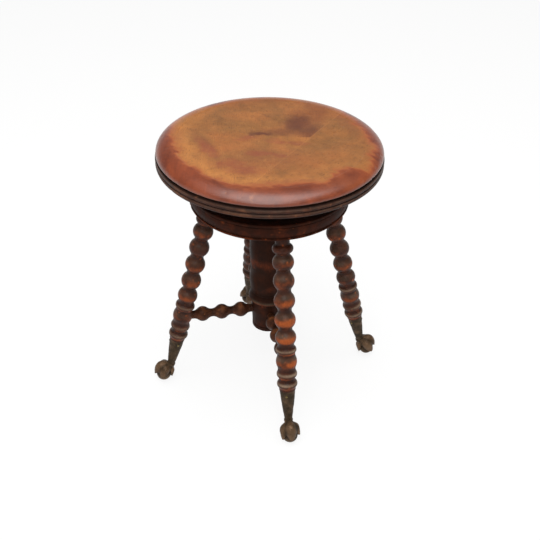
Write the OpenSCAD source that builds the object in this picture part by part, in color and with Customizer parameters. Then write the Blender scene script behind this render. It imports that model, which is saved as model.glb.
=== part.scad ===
/* [Seat] */
// Diameter of the seat over its reeds
seat_d = 359; // [320:1:400]
// Width of the rolled edge, from the flat middle out to the rim
roll_w = 30; // [20:1:60]
// Height of the rolled edge
roll_h = 14; // [8:0.5:18]
// Height of the cove cut under the rolled edge
cove_h = 4.5; // [2:0.5:6]
// Depth of that cove
cove_d = 3.2; // [1:0.1:6]
// Height of each reed on the rim
reed_h = 7.5; // [5:0.5:12]
// How far each reed stands out
reed_out = 2.6; // [1:0.1:4]
// Number of reeds on the rim
reed_count = 2; // [1:1:3]
// Height of the plain edge below the reeds
seat_base_h = 2.5; // [1:0.5:8]
// Height of the seat above the crown as it stands
seat_gap = 37.5; // [34:0.5:60]

/* [Crown] */
// Diameter of the crown over its top rim
crown_d = 267; // [250:1:300]
// Diameter of the crown at its lower edge
crown_foot_d = 259.4; // [230:0.2:268]
// Thickness of the crown
crown_t = 30.5; // [29:0.5:60]
// Height of the plain rim at the top
crown_rim_h = 5; // [3:0.5:8]
// Depth of the small step below that rim
crown_step = 1.6; // [0.6:0.1:3]
// Radius of the small bead round the lower edge
crown_bead_r = 2.3; // [1:0.1:4]
// How far the side swells out between the two
crown_swell = 1; // [0:0.1:5]

/* [Legs] */
// Angle of each leg from upright, in degrees
leg_splay = 13.9; // [8:0.1:18]
// Distance of the leg's middle from the crown's lower edge
leg_inset = 32.4; // [18:0.1:40]
// Depth of the leg's tenon in the crown, along the leg
leg_tenon = 24; // [15:1:28]
// Radius of the leg at its top neck and tenon
leg_neck_r = 11.5; // [9:0.1:13]
// Length of the plain neck below the crown
leg_neck_len = 22; // [8:0.5:30]
// Number of round beads in the row
bead_count = 5; // [3:1:7]
// Radius of the round beads
bead_r = 17.2; // [15:0.1:20]
// Radius of the waists between the beads
waist_r = 11.2; // [9:0.1:13]
// Half the length of a bead inside the row
bead_half = 17; // [14:0.1:19]
// Half the length of the first and last beads
end_bead_half = 14.5; // [12:0.1:18]
// Radius of the collar above the beads
collar_r = 16.8; // [15:0.1:20]
// Half the height of the collar
collar_half = 8.7; // [6:0.1:10]
// Radius of the three thin rings
ring_r = 17.1; // [15:0.1:20]
// Half the height of the thin ring above the long bead
ring_half = 7.6; // [6:0.1:9]
// Half the height of the two thin rings below it
low_ring_half = 9.2; // [7:0.1:11]
// Radius of the long bead that takes the stretcher
long_r = 17.4; // [16:0.1:21]
// Half the length of the long bead
long_half = 13.8; // [12:0.1:20]
// Radius of the cuts on each side of the long bead
quirk_r = 14.8; // [12.5:0.1:15.5]
// Radius of the cuts above and below the rings
neck_quirk_r = 13.4; // [12.5:0.1:15]
// Radius of the last fillet above the metal socket
fillet_r = 13.9; // [13.5:0.1:15]
// Length of that last fillet
fillet_len = 2; // [1:0.5:10]

/* [Feet] */
// Diameter of the ball under each leg
ball_d = 26; // [24:0.5:30]
// Length of the tapered metal socket
socket_len = 60; // [50:0.5:80]
// Outer radius of the socket at its top
socket_top_r = 13.4; // [11.5:0.1:13.4]
// Outer radius of the socket at its narrow end
socket_end_r = 6.2; // [5:0.1:7]
// Wall of the socket
socket_wall = 1.4; // [1:0.1:2]
// Depth of the leg's end in the socket
socket_depth = 42; // [30:1:46]
// Gap from the socket's end to the ball
ankle_gap = 12.7; // [11:0.1:15]
// Angle from upright at which the ankle meets the ball, in degrees
ankle_lean = 33.9; // [10:0.1:40]
// Radius of the round ankle between socket and claw
ankle_r = 7.8; // [7.4:0.1:9]
// Angle from the outer talon round to each side talon, in degrees
talon_turn = 72; // [54:9:90]
// Radius of the round knob that the claw makes over the ball
knob_r = 16; // [14.5:0.1:18]
// Height of the knob's middle above the ball's middle
knob_rise = 10; // [8:0.1:12]
// How far the ridge of a talon stands out over the knob
talon_rise = 2.2; // [1:0.1:3.5]
// Thickness of a talon at its tip
talon_tip_t = 4.5; // [2:0.1:5]
// Angle round the ball at which the talons end, in degrees from the top
talon_reach = 84; // [70:1:90]
// Thickness of the web's edge between two talons
web_t = 3; // [1:0.1:4]
// Angle round the ball at which the web ends, in degrees from the top
web_reach = 54; // [46:1:60]
// Radius of a foot nail's shank
nail_r = 0.9; // [0.6:0.1:1.2]
// Length of a foot nail
nail_len = 7; // [4:0.5:8]
// Radius of a foot nail's head
nail_head_r = 2.1; // [1.5:0.1:3]
// Height of a foot nail's head
nail_head_h = 1; // [0.6:0.1:1.6]
// Distance of the nails from the socket's top
nail_drop = 9; // [6:0.5:14]
// Number of nails in each foot
nail_count = 3; // [1:1:4]

/* [Stretchers] */
// Drop of the stretchers' centre line below the long bead's middle
stretcher_drop = 3; // [0:0.5:5]
// Number of beads on a stretcher
stretcher_beads = 3; // [2:1:4]
// Radius of a stretcher bead
stretcher_bead_r = 13.3; // [11:0.1:15]
// Radius of a stretcher's waists and tenons
stretcher_waist_r = 7.1; // [6:0.1:8]
// Length of the plain neck at a stretcher's inner end
inner_neck = 2.8; // [1:0.1:8]
// Length of the plain neck at a stretcher's outer end
outer_neck = 0.8; // [0.4:0.1:6]
// Depth of a stretcher's tenon in the hub
hub_tenon = 12; // [6:0.5:14]
// Depth of a stretcher's tenon in the leg
leg_mortise = 9; // [6:0.5:11]

/* [Hub] */
// Diameter of the hub over its two swells
hub_d = 65; // [61:0.5:72]
// Diameter of the hub at its waist
hub_waist_d = 61.5; // [57:0.5:64]
// Diameter of the flared ring
lip_d = 68; // [65:0.5:76]
// Height of the flared ring
lip_h = 15; // [10:0.5:24]
// Diameter of the lower barrel
barrel_d = 59; // [52:0.5:64]
// Height of the barrel above the stretchers' centre line
barrel_rise = 24; // [14:0.5:30]
// Depth of the barrel below the stretchers' centre line
barrel_drop = 37.5; // [20:0.5:50]
// Height of the rim at the foot of the barrel
barrel_rim_h = 8; // [4:0.5:12]
// Diameter of the hub's top tenon in the crown
hub_tenon_d = 54; // [52:0.5:58]
// Diameter of the bore that the screw runs in
hub_bore_d = 36; // [35.6:0.1:38]

/* [Screw and iron] */
// Outer diameter of the lift screw's thread
screw_d = 28; // [26:0.5:29]
// Rise of the seat in one turn
thread_pitch = 8; // [6:0.5:10]
// Depth of the thread
thread_depth = 3; // [2:0.1:4]
// Travel of the seat up from where it stands
travel_up = 100; // [60:1:110]
// Travel of the seat down from where it stands
travel_down = 12; // [4:0.5:14]
// Radius of the screw's plain head in the spider
shank_r = 10; // [8:0.1:10.2]
// Radius of the screw's lower journal
journal_r = 8; // [6:0.1:8.8]
// Length of the screw below the stop washer
screw_tail = 9; // [7:0.5:14]
// Diameter of the stop washer
washer_d = 34; // [32:0.1:35]
// Thickness of the stop washer
washer_t = 5; // [3:0.5:8]
// Radius of the cross pins
pin_r = 2; // [1.5:0.1:2.5]
// Outer diameter of the nut's barrel
nut_d = 42; // [40:0.5:44]
// Length of the nut's barrel below its flange
nut_len = 45; // [35:0.5:60]
// Diameter of the nut's flange
flange_d = 92; // [86:1:120]
// Thickness of the nut's flange
flange_t = 5; // [4:0.5:7]
// Diameter of the circle of screws in the flange
flange_pcd = 73; // [70:1:76]
// Diameter of the spider's boss
boss_d = 48; // [42:0.5:60]
// Thickness of the spider's arms
arm_t = 6; // [4:0.5:7]
// Width of the spider's arms
arm_w = 24; // [18:0.5:34]
// Length of the spider's arms from the middle to the last screw
arm_len = 104; // [70:1:130]
// Number of arms
arm_count = 4; // [3:1:6]
// Radius of a wood screw's shank
wood_screw_r = 2.2; // [1.6:0.1:2.6]
// Radius of a wood screw's head
wood_screw_head_r = 4.6; // [3.4:0.1:5]
// Height of a wood screw's countersunk head
wood_screw_head_h = 2.8; // [2:0.1:3.4]
// Length of a wood screw below its head
wood_screw_len = 18; // [12:0.5:20]

/* [Fits] */
// Gap all round a glued or driven piece
glue_gap = 0.06; // [0.02:0.01:0.1]
// Gap between the screw's thread and the nut's
thread_gap = 0.5; // [0.4:0.05:0.8]
// Gap between two pieces that only meet at a stop
stop_gap = 1.5; // [1:0.1:3]
// Gap at each face of the stop washer
washer_gap = 0.2; // [0.1:0.05:0.4]
// Gap between a ball and the claw over it
ball_gap = 0.15; // [0.05:0.05:0.3]

/* [Hidden] */
$fn = 72;
over = 1;
arc_steps = 5;
leg_count = 4;

// Roundness of the crests, as shares of their own half length
collar_round_share = 0.86;
end_round_share = 1.05;
ring_round_share = 0.76;
long_round_share = 1.5;

// Distances down the leg from the crown's underside, measured along the leg
collar_at = leg_neck_len + collar_half;
beads_at = collar_at + collar_half;
beads_end = beads_at + 4 * end_bead_half + 2 * (bead_count - 2) * bead_half;
ring_at = beads_end + ring_half;
long_at = ring_at + ring_half + long_half;
second_ring_at = long_at + long_half + low_ring_half;
third_ring_at = second_ring_at + 2 * low_ring_half;
fillet_at = third_ring_at + low_ring_half;
socket_at = fillet_at + fillet_len;
ankle_at = socket_at + socket_len;

// The foot, then the heights that stand on it
ball_r = ball_d / 2;
ankle_out = ball_r + ankle_gap;
ankle_z = ball_r + ankle_out * cos(ankle_lean);
crown_z = ankle_z + ankle_at * cos(leg_splay);
leg_ring_r = crown_foot_d / 2 - leg_inset;
ball_at = leg_ring_r + ankle_at * sin(leg_splay) + ankle_out * sin(ankle_lean);

// The seat
seat_r = seat_d / 2;
reed_foot_r = seat_r - reed_out;
roll_r = reed_foot_r + reed_out / 2;
seat_z = crown_z + crown_t + seat_gap;
seat_t = seat_base_h + reed_count * reed_h + cove_h + roll_h;

// The stretchers' centre line and the hub
stretcher_z = crown_z - long_at * cos(leg_splay) - stretcher_drop;
long_ring_r = leg_ring_r + (crown_z - stretcher_z) * tan(leg_splay);
barrel_r = barrel_d / 2;
stretcher_end = long_ring_r - long_r / cos(leg_splay);
stretcher_half = (stretcher_end - barrel_r - inner_neck - outer_neck) / (2 * stretcher_beads);
hub_foot_z = stretcher_z - barrel_drop;
lip_z = stretcher_z + barrel_rise;
column_z = lip_z + lip_h;

// The iron, from the nut down to the screw's end
crown_top = crown_z + crown_t;
nut_top = crown_top + flange_t;
nut_foot = crown_top - nut_len;
boss_z = nut_top + stop_gap + travel_down;
thread_foot = nut_foot - stop_gap - travel_up;
washer_z = thread_foot - washer_gap - washer_t;
screw_foot = washer_z - screw_tail;
bore_foot = screw_foot - travel_down - 2 * stop_gap;
minor_r = screw_d / 2 - thread_depth;
washer_pin_z = washer_z - washer_gap - pin_r;
nut_thread_foot = thread_foot + thread_pitch * (floor((nut_foot - thread_foot) / thread_pitch) - 2);
screw_pin_z = (boss_z + seat_z - arm_t) / 2;

wood = [0.36, 0.18, 0.1];
dark_wood = [0.24, 0.12, 0.07];
seat_wood = [0.6, 0.35, 0.17];
iron = [0.2, 0.19, 0.18];
old_metal = [0.33, 0.28, 0.22];
steel = [0.45, 0.44, 0.42];

// Radius of the hollow that joins a crest to a waist, with both arcs tangent
function hollow_r(half, crest, waist, rnd) =
    (half * half + pow(crest - rnd - waist, 2) - rnd * rnd) / (2 * (crest - waist));

// Angle at which the crest's arc passes into the hollow's
function turn_angle(half, crest, waist, rnd) =
    let (hollow = hollow_r(half, crest, waist, rnd))
    atan2(half, waist + hollow - crest + rnd);

// Points [distance, radius] from the crest to the waist
function half_bead(half, crest, waist, rnd) =
    let (hollow = hollow_r(half, crest, waist, rnd), turn = turn_angle(half, crest, waist, rnd))
    concat(
        [for (i = [0 : arc_steps]) let (a = turn * i / arc_steps)
            [rnd * sin(a), crest - rnd + rnd * cos(a)]],
        [for (i = [1 : arc_steps]) let (a = turn * (1 - i / arc_steps))
            [half - hollow * sin(a), waist + hollow - hollow * cos(a)]]);

// A whole bead at a place, from one waist to the next
function bead(at, half, crest, rnd, waist_before, waist_after) =
    let (before = half_bead(half, crest, waist_before, rnd),
        after = half_bead(half, crest, waist_after, rnd))
    concat(
        [for (i = [2 * arc_steps : -1 : 0]) [before[i][1], at - before[i][0]]],
        [for (i = [1 : 2 * arc_steps]) [after[i][1], at + after[i][0]]]);

// Points on an arc of an ellipse in the outline's plane
function arc(centre, wide, high, from, to) =
    [for (i = [0 : arc_steps]) let (a = from + (to - from) * i / arc_steps)
        centre + [wide * cos(a), high * sin(a)]];

// The turned outline of a leg, from its tenon to the end in the socket
function leg_outline() = concat(
    [[0, -leg_tenon], [leg_neck_r, -leg_tenon]],
    bead(collar_at, collar_half, collar_r, collar_half * collar_round_share, leg_neck_r, waist_r),
    bead(beads_at + end_bead_half, end_bead_half, bead_r, end_bead_half * end_round_share,
        waist_r, waist_r),
    [for (k = [0 : bead_count - 3])
        for (p = bead(beads_at + 2 * end_bead_half + (2 * k + 1) * bead_half, bead_half,
            bead_r, bead_r, waist_r, waist_r)) p],
    bead(beads_end - end_bead_half, end_bead_half, bead_r, end_bead_half * end_round_share,
        waist_r, neck_quirk_r),
    bead(ring_at, ring_half, ring_r, ring_half * ring_round_share, neck_quirk_r, quirk_r),
    bead(long_at, long_half, long_r, long_half * long_round_share, quirk_r, quirk_r),
    bead(second_ring_at, low_ring_half, ring_r, low_ring_half * ring_round_share,
        quirk_r, neck_quirk_r),
    bead(third_ring_at, low_ring_half, ring_r, low_ring_half * ring_round_share,
        neck_quirk_r, fillet_r),
    [[fillet_r, socket_at], [socket_bore(0) - glue_gap, socket_at],
        [socket_bore(socket_depth) - glue_gap, socket_at + socket_depth],
        [0, socket_at + socket_depth]]);

// Radii of the socket at a distance below its top
function socket_r(at) = socket_top_r + (socket_end_r - socket_top_r) * at / socket_len;
function socket_bore(at) = socket_r(at) - socket_wall;

// Places a child that is drawn down a leg's own line, or stands in the plane of leg k
module in_leg_plane(k) {
    rotate([0, 0, 360 * k / leg_count - 90]) children();
}
module along_leg(k) {
    in_leg_plane(k) translate([leg_ring_r, 0, crown_z]) rotate([0, 180 - leg_splay, 0]) children();
}
module at_ball(k) {
    in_leg_plane(k) translate([ball_at, 0, ball_r]) children();
}

// The seat's outline from its flat underside out over the reeds to the flat top
function seat_outline() = concat(
    [[0, 0], [reed_foot_r - reed_out, 0]],
    [for (k = [0 : reed_count - 1])
        for (p = arc([reed_foot_r, seat_base_h + (k + 0.5) * reed_h], reed_out, reed_h / 2, -90, 90)) p],
    [[reed_foot_r - cove_d, seat_t - roll_h - cove_h], [reed_foot_r - cove_d, seat_t - roll_h]],
    arc([roll_r - roll_w, seat_t - roll_h], roll_w, roll_h, 0, 90),
    [[0, seat_t]]);

module seat_top() {
    color(seat_wood) difference() {
        translate([0, 0, seat_z]) rotate_extrude($fn = 144) polygon(seat_outline());
        arm_screw_places()
            cylinder(r = wood_screw_r + glue_gap, h = wood_screw_len - arm_t + glue_gap);
    }
}

// Places of the spider's screws, at the seat's underside: two on each arm
module arm_screw_places() {
    for (k = [0 : arm_count - 1], at = [arm_len, (arm_len + boss_d / 2) / 2])
        rotate([0, 0, 360 * (k + 0.5) / arm_count]) translate([at, 0, seat_z]) children();
}

// A cone that widens downward takes the countersunk head
module head_seat(gap) {
    cylinder(r1 = wood_screw_head_r + gap, r2 = wood_screw_r + gap, h = wood_screw_head_h);
}

module seat_spider() {
    color(iron) difference() {
        union() {
            translate([0, 0, boss_z]) cylinder(d = boss_d, h = seat_z - boss_z);
            for (k = [0 : arm_count - 1]) rotate([0, 0, 360 * (k + 0.5) / arm_count])
                translate([0, 0, seat_z - arm_t]) {
                    translate([0, -arm_w / 2, 0]) cube([arm_len, arm_w, arm_t]);
                    translate([arm_len, 0, 0]) cylinder(d = arm_w, h = arm_t);
                }
        }
        translate([0, 0, boss_z - over]) cylinder(r = shank_r + glue_gap, h = seat_z - boss_z + 2 * over);
        translate([0, 0, screw_pin_z]) rotate([90, 0, 0])
            cylinder(r = pin_r + glue_gap, h = boss_d + 2 * over, center = true);
        arm_screw_places() {
            translate([0, 0, -arm_t]) head_seat(glue_gap);
            translate([0, 0, -arm_t - over])
                cylinder(r = wood_screw_r + glue_gap, h = arm_t + 2 * over);
        }
    }
}

// A slotted wood screw that points up from its head
module wood_screw() {
    difference() {
        union() {
            head_seat(0);
            cylinder(r = wood_screw_r, h = wood_screw_len);
        }
        cube([2 * (wood_screw_head_r + over), wood_screw_head_h / 3, wood_screw_head_h], center = true);
    }
}

module spider_screws() {
    color(steel) arm_screw_places() translate([0, 0, -arm_t]) wood_screw();
}

// Thread form over one pitch: height as a share of the pitch, depth as a share of the thread's
thread_shares = [[0, 0], [0.22, 0], [0.42, 1], [0.8, 1]];
thread_sides = 18;

// A right-handed thread as one closed helical skin, from its foot up to its top
module thread(foot, top, crest_r, root_r) {
    turns = floor((top - foot) / thread_pitch) - 1;
    rows = len(thread_shares);
    last = turns * rows;
    points = concat(
        [for (j = [0 : last + rows], k = [0 : thread_sides - 1])
            let (form = thread_shares[j % rows], wound = floor(j / rows) + k / thread_sides,
                r = root_r + (crest_r - root_r) * form[1])
            [r * cos(360 * k / thread_sides), r * sin(360 * k / thread_sides),
                foot + (form[0] + wound) * thread_pitch]],
        [[0, 0, foot + thread_pitch / 2], [0, 0, foot + (turns + 1.5) * thread_pitch]]);
    function at(j, k) = k == thread_sides ? at(j + rows, 0) : j * thread_sides + k;
    foot_point = len(points) - 2;
    top_point = len(points) - 1;
    skin = [for (j = [0 : last - 1], k = [0 : thread_sides - 1], half = [0, 1])
        half == 0 ? [at(j, k), at(j + 1, k), at(j, k + 1)]
            : [at(j, k + 1), at(j + 1, k), at(j + 1, k + 1)]];
    foot_face = concat(
        [for (k = [0 : thread_sides - 1]) [foot_point, at(0, k), at(0, k + 1)]],
        [for (j = [0 : rows - 1]) [foot_point, at(j + 1, 0), at(j, 0)]]);
    top_face = concat(
        [for (k = [0 : thread_sides - 1]) [top_point, at(last, k + 1), at(last, k)]],
        [for (j = [0 : rows - 1]) [top_point, at(last + j, 0), at(last + j + 1, 0)]]);
    polyhedron(points = points, faces = concat(skin, foot_face, top_face));
}

module lift_screw() {
    color(steel) difference() {
        union() {
            thread(thread_foot, boss_z, screw_d / 2, minor_r);
            translate([0, 0, thread_foot]) cylinder(r = shank_r, h = seat_z - glue_gap - thread_foot);
            translate([0, 0, screw_foot]) cylinder(r = journal_r, h = thread_foot - screw_foot + over);
        }
        translate([0, 0, screw_pin_z]) rotate([90, 0, 0])
            cylinder(r = pin_r + glue_gap, h = screw_d, center = true);
        translate([0, 0, washer_pin_z]) rotate([90, 0, 0])
            cylinder(r = pin_r + glue_gap, h = screw_d, center = true);
    }
}

module screw_pin() {
    color(steel) translate([0, 0, screw_pin_z]) rotate([90, 0, 0])
        cylinder(r = pin_r, h = boss_d, center = true);
}

module stop_washer() {
    color(iron) translate([0, 0, washer_z]) difference() {
        cylinder(d = washer_d, h = washer_t);
        translate([0, 0, -over]) cylinder(r = journal_r + washer_gap, h = washer_t + 2 * over);
    }
}

module washer_pin() {
    color(steel) translate([0, 0, washer_pin_z]) rotate([90, 0, 0])
        cylinder(r = pin_r, h = washer_d - 2 * washer_gap - pin_r, center = true);
}

// Places of the flange screws, at the crown's top
module flange_screw_places() {
    for (k = [0 : arm_count - 1])
        rotate([0, 0, 360 * k / arm_count]) translate([flange_pcd / 2, 0, crown_top]) children();
}

module lift_nut() {
    color(iron) difference() {
        union() {
            translate([0, 0, crown_top]) cylinder(d = flange_d, h = flange_t);
            translate([0, 0, nut_foot]) cylinder(d = nut_d, h = nut_len + over);
        }
        thread(nut_thread_foot, nut_top + 3 * thread_pitch,
            screw_d / 2 + thread_gap, minor_r + thread_gap);
        flange_screw_places() {
            translate([0, 0, flange_t]) mirror([0, 0, 1]) head_seat(glue_gap);
            translate([0, 0, -over]) cylinder(r = wood_screw_r + glue_gap, h = flange_t + 2 * over);
        }
    }
}

module nut_screws() {
    color(steel) flange_screw_places() translate([0, 0, flange_t]) mirror([0, 0, 1]) wood_screw();
}

// The crown's outline: lower bead, swelling side, step and plain rim
function crown_outline() =
    let (foot_r = crown_foot_d / 2, top_r = crown_d / 2,
        side_foot = 2 * crown_bead_r, side_top = crown_t - crown_rim_h - crown_step,
        steps = 2 * arc_steps)
    concat(
        [[0, 0]],
        arc([foot_r - crown_bead_r, crown_bead_r], crown_bead_r, crown_bead_r, -90, 90),
        [for (i = [0 : steps]) let (share = i / steps)
            [foot_r - crown_bead_r + crown_step / 2
                + (top_r - crown_step / 2 - foot_r + crown_bead_r - crown_step / 2) * share
                + crown_swell * sin(180 * share),
                side_foot + (side_top - side_foot) * share]],
        [[top_r - 2 * crown_step, side_top], [top_r - 2 * crown_step, side_top + crown_step]],
        [[top_r, side_top + crown_step]],
        arc([top_r - crown_step, crown_t - crown_step], crown_step, crown_step, 0, 90),
        [[0, crown_t]]);

module crown() {
    color(dark_wood) difference() {
        translate([0, 0, crown_z]) rotate_extrude($fn = 144) polygon(crown_outline());
        translate([0, 0, crown_z - over])
            cylinder(d = hub_tenon_d + 2 * glue_gap, h = crown_t + 2 * over);
        for (k = [0 : leg_count - 1]) along_leg(k) translate([0, 0, -leg_tenon - glue_gap])
            cylinder(r = leg_neck_r + glue_gap, h = leg_tenon + leg_neck_r);
        flange_screw_places() mirror([0, 0, 1])
            cylinder(r = wood_screw_r + glue_gap, h = wood_screw_len - flange_t + glue_gap);
    }
}

// The hub's outline: rimmed barrel, flared ring, two swells and the top tenon
swell_shares = [0.13, 0.46];
swell_reach_shares = [0.13, 0.2];
function swell_bump(share) = max([for (i = [0, 1])
    let (d = abs(share - swell_shares[i]) / swell_reach_shares[i]) d < 1 ? pow(cos(90 * d), 2) : 0]);

function hub_outline() =
    let (swell_r = hub_d / 2, neck_r = hub_waist_d / 2, lip_r = lip_d / 2, quirk = barrel_rim_h / 8,
        steps = 6 * arc_steps)
    concat(
        [[0, 0], [barrel_r - 3 * quirk, 0], [barrel_r - 2 * quirk, quirk],
            [barrel_r - 2 * quirk, barrel_rim_h - quirk], [barrel_r - 3 * quirk, barrel_rim_h]],
        [for (i = [0 : arc_steps]) let (share = i / arc_steps)
            [barrel_r - 2 * quirk * cos(90 * share),
                barrel_rim_h + quirk + (barrel_drop - barrel_rim_h) * share]],
        [[barrel_r, lip_z - hub_foot_z - 2 * quirk], [barrel_r - quirk, lip_z - hub_foot_z]],
        [[lip_r - quirk, lip_z - hub_foot_z]],
        [for (i = [0 : arc_steps]) let (a = 90 * i / arc_steps)
            [neck_r - 2 * quirk + (lip_r - neck_r + 2 * quirk) * cos(a),
                lip_z - hub_foot_z + quirk + (lip_h - quirk) * (1 - cos(a)) / 2
                    + (lip_h - quirk) * sin(a) / 2]],
        [for (i = [1 : steps]) let (share = i / steps)
            [neck_r + (swell_r - neck_r) * swell_bump(share),
                column_z - hub_foot_z + (crown_z - column_z) * share]],
        [[hub_tenon_d / 2, crown_z - hub_foot_z], [hub_tenon_d / 2, crown_top - hub_foot_z],
            [0, crown_top - hub_foot_z]]);

module hub() {
    color(dark_wood) difference() {
        translate([0, 0, hub_foot_z]) rotate_extrude($fn = 96) polygon(hub_outline());
        translate([0, 0, bore_foot]) cylinder(d = hub_bore_d, h = crown_top - bore_foot + over);
        translate([0, 0, nut_foot]) cylinder(d = nut_d + 2 * glue_gap, h = nut_len + over);
        for (k = [0 : leg_count - 1]) in_leg_plane(k)
            translate([barrel_r - hub_tenon - glue_gap, 0, stretcher_z]) rotate([0, 90, 0])
                cylinder(r = stretcher_waist_r + glue_gap, h = hub_tenon + stretcher_end - barrel_r);
    }
}

// Nails stand square to the socket's tapered wall
nail_turn = 200;
function nail_tilt() = atan((socket_top_r - socket_end_r) / socket_len);
module nail_places() {
    for (n = [0 : nail_count - 1]) rotate([0, 0, nail_turn + 360 * n / nail_count])
        translate([socket_r(nail_drop), 0, socket_at + nail_drop]) rotate([0, 90 - nail_tilt(), 0])
            children();
}

module leg(k) {
    color(wood) difference() {
        along_leg(k) rotate_extrude($fn = 48) polygon(leg_outline());
        in_leg_plane(k) translate([0, 0, stretcher_z]) rotate([0, 90, 0])
            cylinder(r = stretcher_waist_r + glue_gap, h = stretcher_end + leg_mortise + glue_gap);
        along_leg(k) nail_places() translate([0, 0, -nail_len - glue_gap])
            cylinder(r = nail_r + glue_gap, h = nail_len, $fn = 24);
    }
}
module leg_front() { leg(0); }
module leg_right() { leg(1); }
module leg_back() { leg(2); }
module leg_left() { leg(3); }

// The turned outline of a stretcher, measured out from the stool's middle
function stretcher_outline() = concat(
    [[0, barrel_r - hub_tenon], [stretcher_waist_r, barrel_r - hub_tenon]],
    [for (k = [0 : stretcher_beads - 1])
        for (p = bead(barrel_r + inner_neck + (2 * k + 1) * stretcher_half, stretcher_half,
            stretcher_bead_r, stretcher_bead_r, stretcher_waist_r, stretcher_waist_r)) p],
    [[stretcher_waist_r, stretcher_end + leg_mortise], [0, stretcher_end + leg_mortise]]);

module stretcher(k) {
    color(wood) in_leg_plane(k) translate([0, 0, stretcher_z]) rotate([0, 90, 0])
        rotate_extrude($fn = 48) polygon(stretcher_outline());
}
module stretcher_front() { stretcher(0); }
module stretcher_back() { stretcher(2); }
module stretcher_left() { stretcher(3); }

module ball(k) {
    color(old_metal) at_ball(k) sphere(r = ball_r, $fn = 48);
}
module ball_front() { ball(0); }
module ball_right() { ball(1); }
module ball_back() { ball(2); }
module ball_left() { ball(3); }

// The claw is one skin over the ball, drawn as rings round the ankle's own direction.
// A turn of 0 points outward: three talons stand on that side, and a spur at the back.
claw_sides = 40;
claw_rings = 8;
talon_half_turn = 38;
spur_share = 1.3;
facet_share = 1.02;
claw_r = (ball_r + ball_gap) * facet_share;
ankle_dir = [-sin(ankle_lean), 0, cos(ankle_lean)];
outward_dir = [cos(ankle_lean), 0, sin(ankle_lean)];
talons = [[0, 1], [talon_turn, 1], [180, spur_share], [360 - talon_turn, 1]];
function apart(a, b) = 180 - abs(180 - abs(a - b));
function lobe(turn) = max([for (t = talons) let (d = apart(turn, t[0]) / talon_half_turn)
    d < 1 ? t[1] * pow(cos(90 * d), 2) : 0]);

// Angle from the ankle to the skin's edge, whose height on the ball is set by talon and web
function skirt(turn) =
    let (edge = web_reach + (talon_reach - web_reach) * lobe(turn),
        up = cos(ankle_lean), out = cos(turn) * sin(ankle_lean))
    atan2(out, up) + acos(cos(edge) / norm([up, out]));

// Direction at a share of the way from the ankle to the skin's edge
function skin_dir(share, turn) =
    let (a = share * skirt(turn))
    cos(a) * ankle_dir + sin(a) * (cos(turn) * outward_dir + [0, sin(turn), 0]);

// Distance from the ball's middle to the outside of the knob
function knob_out(dir) = knob_rise * dir[2]
    + sqrt(knob_r * knob_r - knob_rise * knob_rise * (1 - dir[2] * dir[2]));

// The skin follows the knob and its talons, and draws in close to the edge
function skin_out(share, turn) =
    let (full = knob_out(skin_dir(share, turn)) + talon_rise * lobe(turn) * sin(90 * share),
        edge = claw_r + web_t + (talon_tip_t - web_t) * lobe(turn))
    full + (edge - full) * pow(share, 6);

module claw() {
    shares = [for (i = [1 : claw_rings]) i / claw_rings];
    turns = [for (s = [0 : claw_sides - 1]) 360 * s / claw_sides];
    outer = [for (share = shares, turn = turns) skin_out(share, turn) * skin_dir(share, turn)];
    inner = [for (share = shares, turn = turns) claw_r * skin_dir(share, turn)];
    points = concat(outer, inner, [knob_out(ankle_dir) * ankle_dir, claw_r * ankle_dir]);
    size = claw_sides * claw_rings;
    function next(s) = (s + 1) % claw_sides;
    outer_faces = [for (i = [0 : claw_rings - 2], s = [0 : claw_sides - 1], half = [0, 1])
        let (a = i * claw_sides + s, b = i * claw_sides + next(s))
        half == 0 ? [a, b, a + claw_sides] : [b, b + claw_sides, a + claw_sides]];
    inner_faces = [for (f = outer_faces) [f[0] + size, f[2] + size, f[1] + size]];
    rim = size - claw_sides;
    edge_faces = [for (s = [0 : claw_sides - 1], half = [0, 1])
        half == 0 ? [rim + s, rim + next(s), size + rim + s]
            : [rim + next(s), size + rim + next(s), size + rim + s]];
    top_faces = [for (s = [0 : claw_sides - 1], side = [0, 1])
        side == 0 ? [2 * size, next(s), s] : [2 * size + 1, size + s, size + next(s)]];
    polyhedron(points = points, faces = concat(outer_faces, inner_faces, edge_faces, top_faces));
}

module foot(k) {
    color(old_metal) union() {
        difference() {
            union() {
                along_leg(k) translate([0, 0, socket_at])
                    cylinder(r1 = socket_top_r, r2 = socket_end_r, h = socket_len);
                at_ball(k) rotate([0, -ankle_lean, 0]) translate([0, 0, ankle_out])
                    sphere(r = ankle_r, $fn = 32);
            }
            at_ball(k) sphere(r = (claw_r + ankle_out) / 2, $fn = 48);
            along_leg(k) translate([0, 0, socket_at])
                cylinder(r1 = socket_bore(0), r2 = socket_bore(socket_depth), h = socket_depth);
            along_leg(k) nail_places() translate([0, 0, -nail_len])
                cylinder(r = nail_r + glue_gap, h = nail_len + over, $fn = 24);
        }
        at_ball(k) claw();
    }
}
module foot_front() { foot(0); }
module foot_right() { foot(1); }
module foot_back() { foot(2); }
module foot_left() { foot(3); }

module foot_nails() {
    color(steel) for (k = [0 : leg_count - 1]) along_leg(k) nail_places() {
        translate([0, 0, glue_gap - nail_len]) cylinder(r = nail_r, h = nail_len, $fn = 24);
        translate([0, 0, glue_gap])
            cylinder(r1 = nail_head_r, r2 = nail_head_r / 2, h = nail_head_h, $fn = 24);
    }
}

seat_top();
seat_spider();
spider_screws();
lift_screw();
screw_pin();
stop_washer();
washer_pin();
lift_nut();
nut_screws();
crown();
hub();
leg_front();
leg_right();
leg_back();
leg_left();
stretcher_front();
stretcher_back();
stretcher_left();
foot_front();
foot_right();
foot_back();
foot_left();
ball_front();
ball_right();
ball_back();
ball_left();
foot_nails();
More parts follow.
